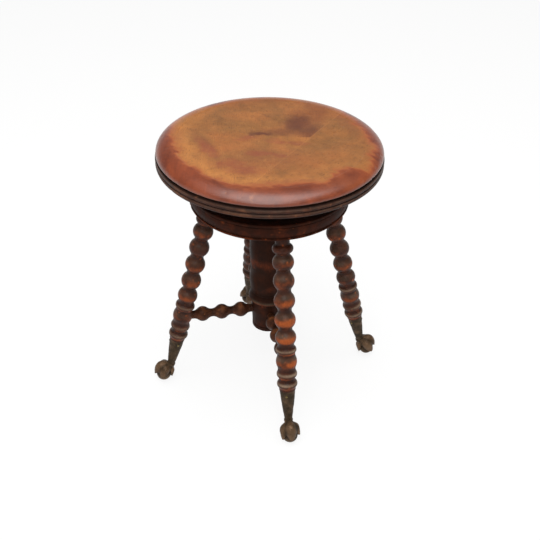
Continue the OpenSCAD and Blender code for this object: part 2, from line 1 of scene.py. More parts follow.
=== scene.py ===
# %% [markdown]
# # An old revolving piano stool
# The real stool has a round wooden seat on a long iron screw. The screw turns in an iron nut that is let
# into a wooden crown, so the seat rises as it turns. Four turned legs splay out from the crown to metal
# feet, each a claw on a ball, and three turned stretchers run from a hub in the middle to the legs.
#
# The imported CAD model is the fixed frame. It gives every piece its place, and this script dresses it:
# turned pieces are drawn again as dense lathe work, so that dents and wear can be put on them.

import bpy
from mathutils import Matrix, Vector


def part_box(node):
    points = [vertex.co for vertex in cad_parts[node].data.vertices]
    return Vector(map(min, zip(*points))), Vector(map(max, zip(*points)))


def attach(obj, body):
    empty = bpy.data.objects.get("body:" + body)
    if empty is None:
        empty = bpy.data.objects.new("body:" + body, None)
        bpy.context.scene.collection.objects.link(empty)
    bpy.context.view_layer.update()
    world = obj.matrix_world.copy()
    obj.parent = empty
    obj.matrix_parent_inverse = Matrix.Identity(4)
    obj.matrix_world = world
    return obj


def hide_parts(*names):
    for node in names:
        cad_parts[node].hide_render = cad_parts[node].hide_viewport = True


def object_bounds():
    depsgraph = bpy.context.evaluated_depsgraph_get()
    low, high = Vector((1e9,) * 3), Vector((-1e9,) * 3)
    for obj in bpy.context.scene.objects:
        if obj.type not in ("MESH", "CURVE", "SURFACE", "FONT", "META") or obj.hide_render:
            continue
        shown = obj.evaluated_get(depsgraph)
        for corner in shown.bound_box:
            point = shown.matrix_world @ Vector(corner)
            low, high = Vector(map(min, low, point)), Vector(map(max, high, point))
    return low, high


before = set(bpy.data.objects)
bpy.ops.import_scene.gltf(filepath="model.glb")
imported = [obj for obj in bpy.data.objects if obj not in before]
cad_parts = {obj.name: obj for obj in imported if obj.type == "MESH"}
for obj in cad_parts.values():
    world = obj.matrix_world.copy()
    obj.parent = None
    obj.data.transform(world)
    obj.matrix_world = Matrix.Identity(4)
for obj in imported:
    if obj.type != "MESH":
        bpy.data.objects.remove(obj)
cad_box = [list(corner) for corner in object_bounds()]

import math
import bpy
import numpy as np
from mathutils import Matrix, Vector

MM = 0.001
scene = bpy.context.scene
print("CAD box:", [[round(c, 4) for c in corner] for corner in cad_box])

# %% [markdown]
# ## The view, the light and the floor
# The camera stands where the photograph's camera stood: the seat's rim, the crown and the four feet were
# fitted as circles and points, which gives the place, the turn and the 55 mm lens. A wrong lens shows at
# once on a stool, because the feet would be too close together under the seat.
#
# The light is that of a plain product studio. A large soft box overhead and a smaller one high in front
# make the broad pale gleam on the seat's front edge and on the beads, and a weak one stands at the left.
# The world lights the wood evenly from all sides. For the camera and for reflections it is a white wall
# that ends a little above the horizon, with a dark ceiling over it, because old varnish that mirrors white
# on every side looks milky. A white floor throws light back up onto the undersides of the beads.

# %% Camera
LENS_MM = 54.99
SENSOR_MM = 36
CAMERA_AT = Vector((0, -1.1585, 1.0568))
PAN, TILT, ROLL = 0.0026318, 0.6258742, -0.0146370
LEG_TURN = math.radians(12.0838)

ahead = Vector((math.sin(PAN) * math.cos(TILT), math.cos(PAN) * math.cos(TILT), -math.sin(TILT)))
level = Vector((math.cos(PAN), -math.sin(PAN), 0))
down = ahead.cross(level)
across = math.cos(ROLL) * level + math.sin(ROLL) * down
down = math.cos(ROLL) * down - math.sin(ROLL) * level
pose = Matrix((across, -down, -ahead)).transposed().to_4x4()
pose.translation = CAMERA_AT

camera = bpy.data.objects.new("studio_camera", bpy.data.cameras.new("studio_camera"))
camera.data.lens = LENS_MM
camera.data.sensor_width = SENSOR_MM
camera.matrix_world = Matrix.Rotation(-LEG_TURN, 4, "Z") @ pose
scene.collection.objects.link(camera)
scene.camera = camera
print("camera at", [round(c, 3) for c in camera.matrix_world.translation])

# %% Helpers for material nodes
def colour(code):
    """Turns a hex colour, as a screen shows it, into the linear light that the renderer works in."""
    parts = [int(code[i:i + 2], 16) / 255 for i in (1, 3, 5)]
    return [p / 12.92 if p <= 0.04045 else ((p + 0.055) / 1.055) ** 2.4 for p in parts] + [1]


def plug(tree, made, name, value):
    """Joins an input to another node or socket, or sets it to a value. A hex code becomes a colour."""
    if isinstance(value, bpy.types.Node):
        value = value.outputs[0]
    if isinstance(value, bpy.types.NodeSocket):
        tree.links.new(value, made.inputs[name])
    else:
        made.inputs[name].default_value = colour(value) if isinstance(value, str) else value


def put(tree, kind, links=(), **settings):
    """Adds a node, gives it its settings, and joins or sets its inputs, each named by name or number."""
    made = tree.nodes.new("ShaderNode" + kind)
    for name, value in settings.items():
        setattr(made, name, value)
    for name, value in dict(links).items():
        plug(tree, made, name, value)
    return made


def maths(tree, operation, a, b=0.0):
    """One step of arithmetic on one or two values."""
    return put(tree, "Math", {0: a, 1: b}, operation=operation)


def times(tree, a, b, plus=0.0):
    """One value times another, with a third added to it if need be."""
    return put(tree, "Math", {0: a, 1: b, 2: plus}, operation="MULTIPLY_ADD")


def ramp(tree, value, low=0.0, high=1.0, at_low=0.0, at_high=1.0):
    """Runs from at_low to at_high while a value runs from low to high, and stays level beyond."""
    return put(tree, "MapRange", {"Value": value, "From Min": low, "From Max": high,
                                  "To Min": at_low, "To Max": at_high})

# %% Lights and world
def soft_box(name, at, aim, wide, deep, watts):
    """A rectangular lamp at a place in the room, as the camera faces it, turned to a point on the stool."""
    lamp = bpy.data.lights.new(name, "AREA")
    lamp.shape, lamp.size, lamp.size_y, lamp.energy = "RECTANGLE", wide, deep, watts
    at = Matrix.Rotation(-LEG_TURN, 3, "Z") @ Vector(at)
    holder = bpy.data.objects.new(name, lamp)
    holder.location = at
    holder.rotation_euler = (Vector(aim) - at).to_track_quat("-Z", "Y").to_euler()
    scene.collection.objects.link(holder)


def sees_background(tree):
    """1 for the rays that see the backdrop as it is: the camera's own, reflected and refracted ones."""
    rays = put(tree, "LightPath").outputs
    seen = maths(tree, "MAXIMUM", rays["Is Camera Ray"], rays["Is Glossy Ray"])
    return maths(tree, "MAXIMUM", seen, rays["Is Transmission Ray"])


soft_box("overhead_box", (-0.06, -0.3, 2.45), (0, -0.1, 0.4), wide=1.8, deep=2.2, watts=54)
soft_box("front_box", (-0.15, -2.0, 2.2), (0, 0, 0.35), wide=1.5, deep=0.9, watts=23)
soft_box("left_box", (-2.2, -0.9, 1.3), (0, 0, 0.25), wide=1.2, deep=1.4, watts=2)

# The world's strength as a lamp, and how bright its wall and its ceiling look. The wall fades into the
# ceiling between two heights, where 0 is level and 1 is straight up.
WORLD_LIGHT, HORIZON, CEILING = 0.48, 0.93, 0.06
FADE_FOOT, FADE_TOP = 0.08, 0.3
world = bpy.data.worlds.new("studio_world")
world.use_nodes = True
scene.world = world
tree = world.node_tree
tree.nodes.clear()
height = put(tree, "SeparateXYZ", {0: put(tree, "TexCoord").outputs["Generated"]}).outputs["Z"]
wall = ramp(tree, height, FADE_FOOT, FADE_TOP, HORIZON, CEILING)
strength = put(tree, "Mix", {0: sees_background(tree), 2: WORLD_LIGHT, 3: wall})
put(tree, "OutputWorld", {"Surface": put(tree, "Background", {"Color": "#ffffff", "Strength": strength})})
scene.view_settings.view_transform = "Standard"

# %% Floor
# To the camera the floor is mostly an even white glow, and to all other light it is matt paper.
FLOOR_REACH, FLOOR_GLOW = 14, 0.86
floor_mesh = bpy.data.meshes.new("studio_floor")
floor_mesh.from_pydata([(x * FLOOR_REACH, y * FLOOR_REACH, cad_box[0][2]) for x, y in
                        ((-1, -1), (1, -1), (1, 1), (-1, 1))], [], [(0, 1, 2, 3)])
floor = bpy.data.objects.new("studio_floor", floor_mesh)
scene.collection.objects.link(floor)
paper = bpy.data.materials.new("white_backdrop_paper")
paper.use_nodes = True
tree = paper.node_tree
tree.nodes.clear()
glow = times(tree, sees_background(tree), FLOOR_GLOW)
matt = put(tree, "BsdfDiffuse", {"Color": "#f7f7f6"})
lit = put(tree, "Emission", {"Color": "#ffffff", "Strength": 1.0})
put(tree, "OutputMaterial", {"Surface": put(tree, "MixShader", {0: glow, 1: matt, 2: lit})})
floor_mesh.materials.append(paper)
print("floor at z =", cad_box[0][2])

# %% [markdown]
# ## Tools for turned wood
# A turner holds a gouge against a spinning blank, so a turned piece is one outline swept round an axis.
# Blender's Screw or Spin tools could do that. Here the outline is swept with numpy, because every ring then
# has a known distance along the piece, and wear, dirt and dents can be worked out from it.
#
# Wear and painted light are kept on the mesh as named values, one for each point. They say how far the
# varnish is rubbed off, how strong a painted grey sheen is, and how much dirt and painted shade lie there,
# and the materials read them.

# %% Outlines
CREST_STEPS = 10


def shares(steps):
    """Even shares from 0 to 1."""
    return [i / steps for i in range(steps + 1)]


def arc(centre, wide, high, start, end, steps=10):
    """Points on an arc of an ellipse, from one angle to another in degrees."""
    angles = [math.radians(start + (end - start) * s) for s in shares(steps)]
    return [(centre[0] + wide * math.cos(a), centre[1] + high * math.sin(a)) for a in angles]


def half_crest(half, crest, waist, rounding):
    """(distance, radius) from a crest to a waist: a round crest that passes smoothly into a hollow."""
    hollow = (half ** 2 + (crest - rounding - waist) ** 2 - rounding ** 2) / (2 * (crest - waist))
    turn = math.atan2(half, waist + hollow - crest + rounding)
    angles = [turn * s for s in shares(CREST_STEPS)]
    top = [(rounding * math.sin(a), crest - rounding + rounding * math.cos(a)) for a in angles]
    low = [(half - hollow * math.sin(a), waist + hollow - hollow * math.cos(a)) for a in angles[-2::-1]]
    return top + low


def crest(at, half, radius, rounding, waist_before, waist_after):
    """A whole crest at a place on the axis, as (radius, distance), from one waist to the next."""
    before = half_crest(half, radius, waist_before, rounding)
    after = half_crest(half, radius, waist_after, rounding)
    return [(r, at - d) for d, r in reversed(before)] + [(r, at + d) for d, r in after[1:]]


def close_set(outline, step):
    """Adds points along an outline until none are further apart than the step."""
    points = [outline[0]]
    for a, b in zip(outline[:-1], outline[1:]):
        count = max(1, math.ceil(math.dist(a, b) / step))
        points += [(a[0] + (b[0] - a[0]) * s, a[1] + (b[1] - a[1]) * s) for s in shares(count)[1:]]
    return [p for i, p in enumerate(points) if i == 0 or math.dist(p, points[i - 1]) > 1e-4]

# %% Sweeping an outline, and marks on a mesh
def new_piece(name, points_mm, faces, finish=None, place=Matrix.Identity(4)):
    """Makes an object from points in millimetres, with smooth shading and its material."""
    mesh = bpy.data.meshes.new(name)
    mesh.from_pydata((np.asarray(points_mm) * MM).tolist(), [], faces)
    mesh.shade_smooth()
    if finish:
        mesh.materials.append(finish)
    piece = bpy.data.objects.new(name, mesh)
    scene.collection.objects.link(piece)
    piece.matrix_world = place
    return piece


def spin(rings, sides, oval=0.0, oval_turn=0.0):
    """Spins (radius, distance) points round the third axis into rings, each joined to the next.
    Wood shrinks across its grain, so a turned piece is a little oval."""
    rings = np.array(rings)
    around = np.linspace(0, 2 * math.pi, sides, endpoint=False)
    radius = rings[:, :1] * (1 - oval * (0.5 + 0.5 * np.cos(2 * (around - oval_turn))))
    points = np.stack([radius * np.cos(around), radius * np.sin(around),
                       np.repeat(rings[:, 1:], sides, axis=1)], axis=2).reshape(-1, 3)
    faces = [(i * sides + k, i * sides + (k + 1) % sides, (i + 1) * sides + (k + 1) % sides,
              (i + 1) * sides + k) for i in range(len(rings) - 1) for k in range(sides)]
    return points, faces


def sweep(outline, sides, oval=0.0, oval_turn=0.0):
    """Sweeps an outline into a closed piece. One that starts and ends on the axis gets a point at each
    end, and one that starts off the axis goes round a bore and closes on itself."""
    bored = outline[0][0] > 0
    points, faces = spin(outline if bored else outline[1:-1], sides, oval, oval_turn)
    foot, last = len(points), len(points) - sides
    if bored:
        return points, faces + [(last + k, last + (k + 1) % sides, (k + 1) % sides, k) for k in range(sides)]
    faces += [(foot, (k + 1) % sides, k) for k in range(sides)]
    faces += [(foot + 1, last + k, last + (k + 1) % sides) for k in range(sides)]
    return np.vstack([points, [[0, 0, outline[0][1]], [0, 0, outline[-1][1]]]]), faces


def joined(parts):
    """Puts several meshes, each as points and faces, together as one."""
    count, faces = 0, []
    for points, part_faces in parts:
        faces += [tuple(i + count for i in face) for face in part_faces]
        count += len(points)
    return np.vstack([points for points, _ in parts]), faces


def moved(points, place):
    """Points in millimetres, moved and turned by a matrix in millimetres."""
    return points @ np.array(place.to_3x3()).T + np.array(place.translation)


def from_axis(points):
    """How far each point is from the third axis."""
    return np.hypot(points[:, 0], points[:, 1])


def bell(values, middle, width):
    """1 where a value is at the middle, fading smoothly to both sides."""
    return np.exp(-((values - middle) / width) ** 2)


WAVES = 9


def wander(points, size, seed):
    """A smooth random field from about -1 to 1, whose humps are about the given size."""
    random = np.random.default_rng(seed)
    total = np.zeros(len(points))
    for _ in range(WAVES):
        way = random.normal(size=points.shape[1])
        way *= 2 * math.pi / (np.linalg.norm(way) * size * random.uniform(1.4, 3.0))
        total += np.cos(points @ way + random.uniform(0, 2 * math.pi))
    return total / math.sqrt(WAVES / 2) / 1.6


def knock(points, count, seed, radius, depth, keep=None):
    """Presses small dents into a piece, toward its axis. Returns how deep each point was pressed."""
    random = np.random.default_rng(seed)
    choices = np.arange(len(points)) if keep is None else np.flatnonzero(keep)
    pressed = np.zeros(len(points))
    for centre in points[random.choice(choices, count)]:
        size, deep = random.uniform(*radius), random.uniform(*depth)
        near = np.exp(-np.sum((points - centre) ** 2, axis=1) / size ** 2)
        pressed = np.maximum(pressed, deep * near)
    reach = np.maximum(from_axis(points), 1e-6)
    points[:, :2] *= (1 - np.minimum(pressed / reach, 0.5))[:, None]
    return pressed


def mark(piece, **marks):
    """Stores values for each point of a piece, under the names that its material reads."""
    for name, values in marks.items():
        layer = piece.data.attributes.new(name, "FLOAT", "POINT")
        layer.data.foreach_set("value", np.clip(values, 0, 1).astype(np.float32))

# %% [markdown]
# ## The woods
# The seat is a hardwood board, glued up from planks, stained red-brown and finished with shellac. People
# have rubbed the middle down to the bare honey-coloured wood. The seat's cove, reeds and underside have a
# darker, duller finish, with painted shade in the cove, between the reeds and underneath. The frame was
# stained nearly black-brown, and where shoes and hands have rubbed it, orange wood shows through. Its
# hollows get painted shade, and a grey sheen is painted on the upper slopes of its rings and beads as a
# painted highlight.
#
# A photograph could be wrapped round each piece, but then other sides would have none. The finish is built
# from noise instead, in the piece's own coordinates. Wood has fibres about 1 mm wide and 20 mm or more
# long, so the noise is stretched that much along the grain. Varnish is a smooth skin with an IOR near 1.5.

# %% Patterns and layers
def start_material(name):
    """An empty material, and the tree that its nodes go into."""
    made = bpy.data.materials.new(name)
    made.use_nodes = True
    made.node_tree.nodes.clear()
    return made, made.node_tree


def in_mm(tree, size, turn=0.0):
    """The piece's coordinates, divided by a pattern's size in millimetres, along all axes or each."""
    sizes = size if isinstance(size, (list, tuple)) else [size] * 3
    place = put(tree, "TexCoord").outputs["Object"]
    if turn:
        place = put(tree, "VectorRotate", {"Vector": place, "Angle": turn}, rotation_type="Z_AXIS")
    return put(tree, "VectorMath", {0: place, 1: [1000 / s for s in sizes]}, operation="MULTIPLY")


def noise(tree, size, detail, turn=0.0, **more):
    """Noise of a given size, with more inputs if need be."""
    return put(tree, "TexNoise", {"Vector": in_mm(tree, size, turn), "Scale": 1, "Detail": detail, **more})


def read(tree, *names):
    """The values that were marked on the mesh under these names."""
    return [put(tree, "Attribute", attribute_name=n).outputs["Fac"] for n in names]


def blend(tree, share, a, b):
    """Mixes two colours by a share."""
    return put(tree, "Mix", {0: share, 6: a, 7: b}, data_type="RGBA").outputs[2]


def lay(tree, body, *layers):
    """Lays colours over a body one after another, each given as (share, colour)."""
    for share, over in layers:
        body = blend(tree, share, body, over)
    return body


def finish_off(tree, height, strength, depth, **inputs):
    """Ends a material with a shader, bumped by a height that is worth so many millimetres."""
    bump = put(tree, "Bump", {"Height": height, "Strength": strength, "Distance": depth * MM})
    inputs = {name.replace("_", " "): value for name, value in inputs.items()}
    put(tree, "OutputMaterial", {"Surface": put(tree, "BsdfPrincipled", {**inputs, "Normal": bump})})

# %% A stained and varnished wood
FIBRE_WIDE, FIBRE_LONG = 1.1, 26.0
PORE_WIDE, PORE_LONG = 0.55, 7.0
MOTTLE, CRAZE = 16.0, 2.2
VARNISH_IOR, VARNISH_BUMP = 1.5, 0.12
# The grey of the sheen painted on upper slopes of crests and reeds: a painted highlight.
SHEEN_GREY = "#937e69"


def stained_wood(name, stain, thin_stain, bare, dirt_and_shade, roughness, gloss, grain_axis, wear_gain=1.0):
    """Turned hardwood under old dark varnish. Rubbed places show bare wood, and the hollows get dirt and
    painted shade. The upper slopes get a painted grey sheen, a painted highlight. The eye sees a soft gleam
    on the crests, orange wood where shoes rub, and fine cracks in the skin."""
    made, tree = start_material(name)
    fibre_way, pore_way = [FIBRE_WIDE] * 3, [PORE_WIDE] * 3
    fibre_way[grain_axis], pore_way[grain_axis] = FIBRE_LONG, PORE_LONG
    fibre = noise(tree, fibre_way, 4, Roughness=0.62)
    pores = ramp(tree, noise(tree, pore_way, 2), 0.58, 0.68)
    mottle = noise(tree, MOTTLE, 5, Roughness=0.6, Distortion=0.2)
    worn, grime, dust = read(tree, "worn", "grime", "dust")

    skin = blend(tree, ramp(tree, mottle, 0.35, 0.68), stain, thin_stain)
    skin = blend(tree, ramp(tree, fibre, 0.3, 0.7, 0, 0.4), skin, stain)
    wood = blend(tree, ramp(tree, fibre, 0.32, 0.7, 0.35, 0), bare, thin_stain)
    wood = blend(tree, times(tree, pores, 0.6), wood, stain)
    broken = times(tree, maths(tree, "SUBTRACT", mottle, 0.5), 1.1, times(tree, worn, wear_gain))
    rubbed = ramp(tree, broken, 0.1)
    rubbed.interpolation_type = "SMOOTHSTEP"
    dusty = times(tree, dust, ramp(tree, fibre, 0.3, 0.6, 0.55))
    body = lay(tree, skin, (rubbed, wood), (times(tree, grime, 0.75), dirt_and_shade), (dusty, SHEEN_GREY))

    dull = ramp(tree, mottle, 0.3, 0.7, roughness - 0.06, roughness + 0.1)
    dull = times(tree, rubbed, 0.14, dull)
    dull = times(tree, grime, 0.22, dull)
    cracks = put(tree, "TexVoronoi", {"Vector": in_mm(tree, CRAZE), "Scale": 1}, feature="DISTANCE_TO_EDGE")
    height = times(tree, fibre, 0.5, ramp(tree, cracks, 0, 0.07, 0.25))
    height = times(tree, pores, -0.4, height)
    finish_off(tree, height, 0.35, VARNISH_BUMP, Base_Color=body, Roughness=dull, IOR=VARNISH_IOR,
               Specular_IOR_Level=gloss)
    return made

# %% The frame's woods and the seat's edge
# Each has its stain where thick and where thin, its bare wood and its colour for dirt and painted shade, then
# its roughness, its gloss and the axis of its grain: 2 along a turned piece, 0 across a disc.
leg_wood = stained_wood("stained_leg_hardwood", "#2c160e", "#502717", "#a04d1e", "#150c08",
                        0.36, 0.13, 2)
stretcher_wood = stained_wood("stained_stretcher_hardwood", "#331c12", "#57321f", "#8e5632", "#170e09",
                              0.42, 0.08, 2)
hub_wood = stained_wood("stained_hub_hardwood", "#26140d", "#331a10", "#6c331e", "#130b07",
                        0.45, 0.04, 2, wear_gain=0.9)
crown_wood = stained_wood("stained_crown_hardwood", "#27130b", "#3c1a0f", "#6c341b", "#130a06",
                          0.5, 0.03, 0)
edge_wood = stained_wood("stained_seat_edge", "#2e1911", "#4e2b1e", "#8d5937", "#180e09",
                         0.38, 0.12, 0)
print("frame woods:", [m.name for m in (leg_wood, stretcher_wood, hub_wood, crown_wood, edge_wood)])

# %% [markdown]
# ## The seat
# The real seat was turned on a faceplate: a flat top that rolls over at the rim, a narrow cove and two
# reeds round the edge. The top could stay as the CAD solid made it, but a sat-on seat is never flat, and
# its reeds are knocked. So the outline is swept densely and the top is painted point by point with listed
# marks, in millimetres from the middle: bare wood, stains, a crack, and the line of a glue joint.

# %% The seat's outline
SEAT_R, REED_OUT, REED_H, REEDS, BASE_H = 179.5, 2.6, 7.5, 2, 2.5
COVE_H, COVE_D, ROLL_W, ROLL_H = 4.5, 3.2, 30.0, 14.0
FOOT_CHAMFER = 0.8
seat_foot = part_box("seat_top")[0].z / MM
SEAT_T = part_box("seat_top")[1].z / MM - seat_foot
reed_foot = SEAT_R - REED_OUT
roll_at = reed_foot + REED_OUT / 2
outline = [(0, 0), (reed_foot - REED_OUT - FOOT_CHAMFER, 0), (reed_foot - REED_OUT, FOOT_CHAMFER)]
for k in range(REEDS):
    outline += arc((reed_foot, BASE_H + (k + 0.5) * REED_H), REED_OUT, REED_H / 2, -90, 90)
roll_foot = SEAT_T - ROLL_H
outline += arc((reed_foot, roll_foot - COVE_H / 2), COVE_D, COVE_H / 2, 250, 110)
outline += arc((roll_at - ROLL_W, roll_foot), ROLL_W, ROLL_H, 0, 90, 24)
outline += [(0, SEAT_T)]
# How finely a piece is drawn: the most millimetres between points of its outline, and the points round it.
SEAT_SPACING, SEAT_SIDES = 1.3, 420
points, faces = sweep(close_set(outline, SEAT_SPACING), SEAT_SIDES, oval=0.002, oval_turn=0.9)
radius = from_axis(points)
on_top = points[:, 2] > roll_foot + 2
print("seat points:", len(points), "height", round(SEAT_T, 2))

# %% Wear on the seat's shape
SAG = 0.9
flat = np.clip(1 - radius / (roll_at - ROLL_W), 0, 1)
points[:, 2] -= on_top * (SAG * flat ** 0.8 + 0.18 * (1 + wander(points[:, :2], 40, 3)) * (flat > 0))
edge = (radius > 168) & (points[:, 2] > 1)
chips = knock(points, 130, 5, radius=(1.0, 3.2), depth=(0.2, 1.1), keep=edge)
top_dents = np.random.default_rng(8)
sunk = np.zeros(len(points))
for _ in range(60):
    where = top_dents.uniform(-165, 165, 2)
    size, deep = top_dents.uniform(1.2, 4), top_dents.uniform(0.06, 0.28)
    sunk = np.maximum(sunk, deep * np.exp(-np.sum((points[:, :2] - where) ** 2, axis=1) / size ** 2))
points[:, 2] -= sunk * on_top
points[:, 2] = np.minimum(points[:, 2], SEAT_T)
print("deepest chip %.2f mm, deepest dent %.2f mm" % (chips.max(), sunk.max()))

# %% Marks on the seat's top
# How far from the middle the bare wood reaches, all the way round, as (degrees, millimetres).
BARE_REACH = [(0, 153), (14, 153), (28, 155), (42, 163), (62, 160), (90, 158), (122, 158), (147, 166),
              (158, 158), (168, 151), (180, 148), (200, 147), (208, 142), (216, 144), (230, 146), (245, 150),
              (252, 142), (262, 138), (272, 140), (281, 145), (290, 153), (295, 150), (300, 138), (307, 137),
              (312, 148), (316, 172), (321, 170), (328, 159), (345, 158), (360, 153)]
# Soft marks: (x, y, half length, half width, degrees, strength).
DARK_MARKS = [(57, 50, 40, 24, 62, 0.9), (68, 20, 32, 22, 70, 0.78), (84, 66, 46, 26, 50, 0.5),
              (30, 24, 40, 15, -8, 0.62), (-9, 25.5, 20, 5.5, -8, 0.95), (-21, 33, 4.5, 9, 0, 0.5),
              (-25, 23, 3.5, 5, 0, 0.8), (12, 88, 14, 2, -52, 0.45), (4, 97, 6, 2, -40, 0.35),
              (-96, 8, 3, 20, 15, 0.25), (65, -157, 2.4, 1.8, 0, 0.9), (140, -36, 3, 1.5, 60, 0.6),
              (-58, 88, 46, 24, 30, 0.16), (20, 130, 80, 22, 0, 0.2), (100, -20, 34, 34, 0, 0.1),
              (30, 78, 50, 20, 20, 0.12), (-100, 60, 30, 18, 60, 0.1)]
RED_MARKS = [(-34, 14, 19, 6, 12, 0.8), (11, -8, 15, 8, -30, 0.95), (37, -17, 19, 6, -14, 0.7),
             (-25, -40, 24, 9, -14, 1.0), (5, -52, 17, 7, -25, 0.85), (-72, -64, 26, 14, -10, 0.95),
             (-55, -84, 27, 14, -20, 0.95), (-100, -6, 38, 10, -74, 1.0), (-20, -58, 54, 36, 0, 0.4),
             (104, 112, 44, 16, -46, 0.55), (0, -132, 58, 7, -3, 0.4), (-140, 30, 10, 44, 0, 0.3),
             (134, 40, 12, 60, 8, 0.3), (20, 146, 70, 10, -6, 0.35)]
PALE_SPOTS = [(-24.5, 18.5, 1.8, 1.8, 0, 1.0), (-91, 38, 1.1, 1.1, 0, 0.8), (30, 98, 1.2, 1.2, 0, 0.7),
              (15, 33, 2.2, 1.6, 0, 0.6), (-57, -159, 15, 5, 70, 0.4), (124, 30, 26, 1.0, 47, 0.45)]
# The great stain lies in a box, given by its middle and half its size. It ends at a crack, given by a point
# and the way across it, and at the glue joint, given by its turn in degrees and a point.
STAIN_AT, STAIN_HALF = (48, 40), (78, 66)
CRACK_FOOT, CRACK_WAY = (-21.0, 20.0), (0.245, 0.97)
JOINT_TURN, JOINT_POINT = 47.4, (68.0, 0.0)
joint_way = np.array([math.cos(math.radians(JOINT_TURN)), math.sin(math.radians(JOINT_TURN))])
joint_side = np.array([joint_way[1], -joint_way[0]])


def soft_marks(flat_points, marks, seed):
    """The strongest of a list of soft ovals at each point, with ragged edges."""
    ragged = flat_points + np.stack([wander(flat_points, 9, seed), wander(flat_points, 9, seed + 1)], 1) * 2.2
    total = np.zeros(len(flat_points))
    for x, y, long_half, wide_half, turn, strength in marks:
        c, s = math.cos(math.radians(turn)), math.sin(math.radians(turn))
        dx, dy = ragged[:, 0] - x, ragged[:, 1] - y
        near = ((dx * c + dy * s) / long_half) ** 2 + ((dy * c - dx * s) / wide_half) ** 2
        total = np.maximum(total, strength * np.exp(-(near / 1.15) ** 1.6))
    return total


flat_points = points[:, :2]
angle = np.degrees(np.arctan2(points[:, 1], points[:, 0])) % 360
reach = np.interp(angle, *zip(*BARE_REACH))
short_of = reach - radius + 4.5 * wander(flat_points, 20, 21) + 2.5 * wander(flat_points, 6, 22)
bare = 1 / (1 + np.exp(-short_of / 3.4))
bare = np.maximum(bare, 0.2 * bell(angle, 304, 20) * (0.8 + 0.4 * wander(flat_points, 16, 23)))
beyond = (flat_points - JOINT_POINT) @ joint_side
dark = soft_marks(flat_points, DARK_MARKS, 31)
above_crack = (flat_points - CRACK_FOOT) @ CRACK_WAY
in_stain = np.all(np.abs(flat_points - STAIN_AT) < STAIN_HALF, axis=1)
dark = np.where(in_stain, dark * np.clip(-beyond / 2, 0, 1) * np.clip(0.7 + above_crack / 1.6, 0, 1), dark)
pale = soft_marks(flat_points, PALE_SPOTS, 36)
red = soft_marks(flat_points, RED_MARKS, 41)
honey_edge = bell(short_of, 13, 14) * np.clip(np.cos(np.radians(angle - 225)) * 1.2 + 0.3, 0, 1)
top_share = np.clip((points[:, 2] - roll_foot - 2) / 3, 0, 1)
print("bare wood on %.0f%% of the seat's points" % (100 * float(np.mean(bare > 0.5))))

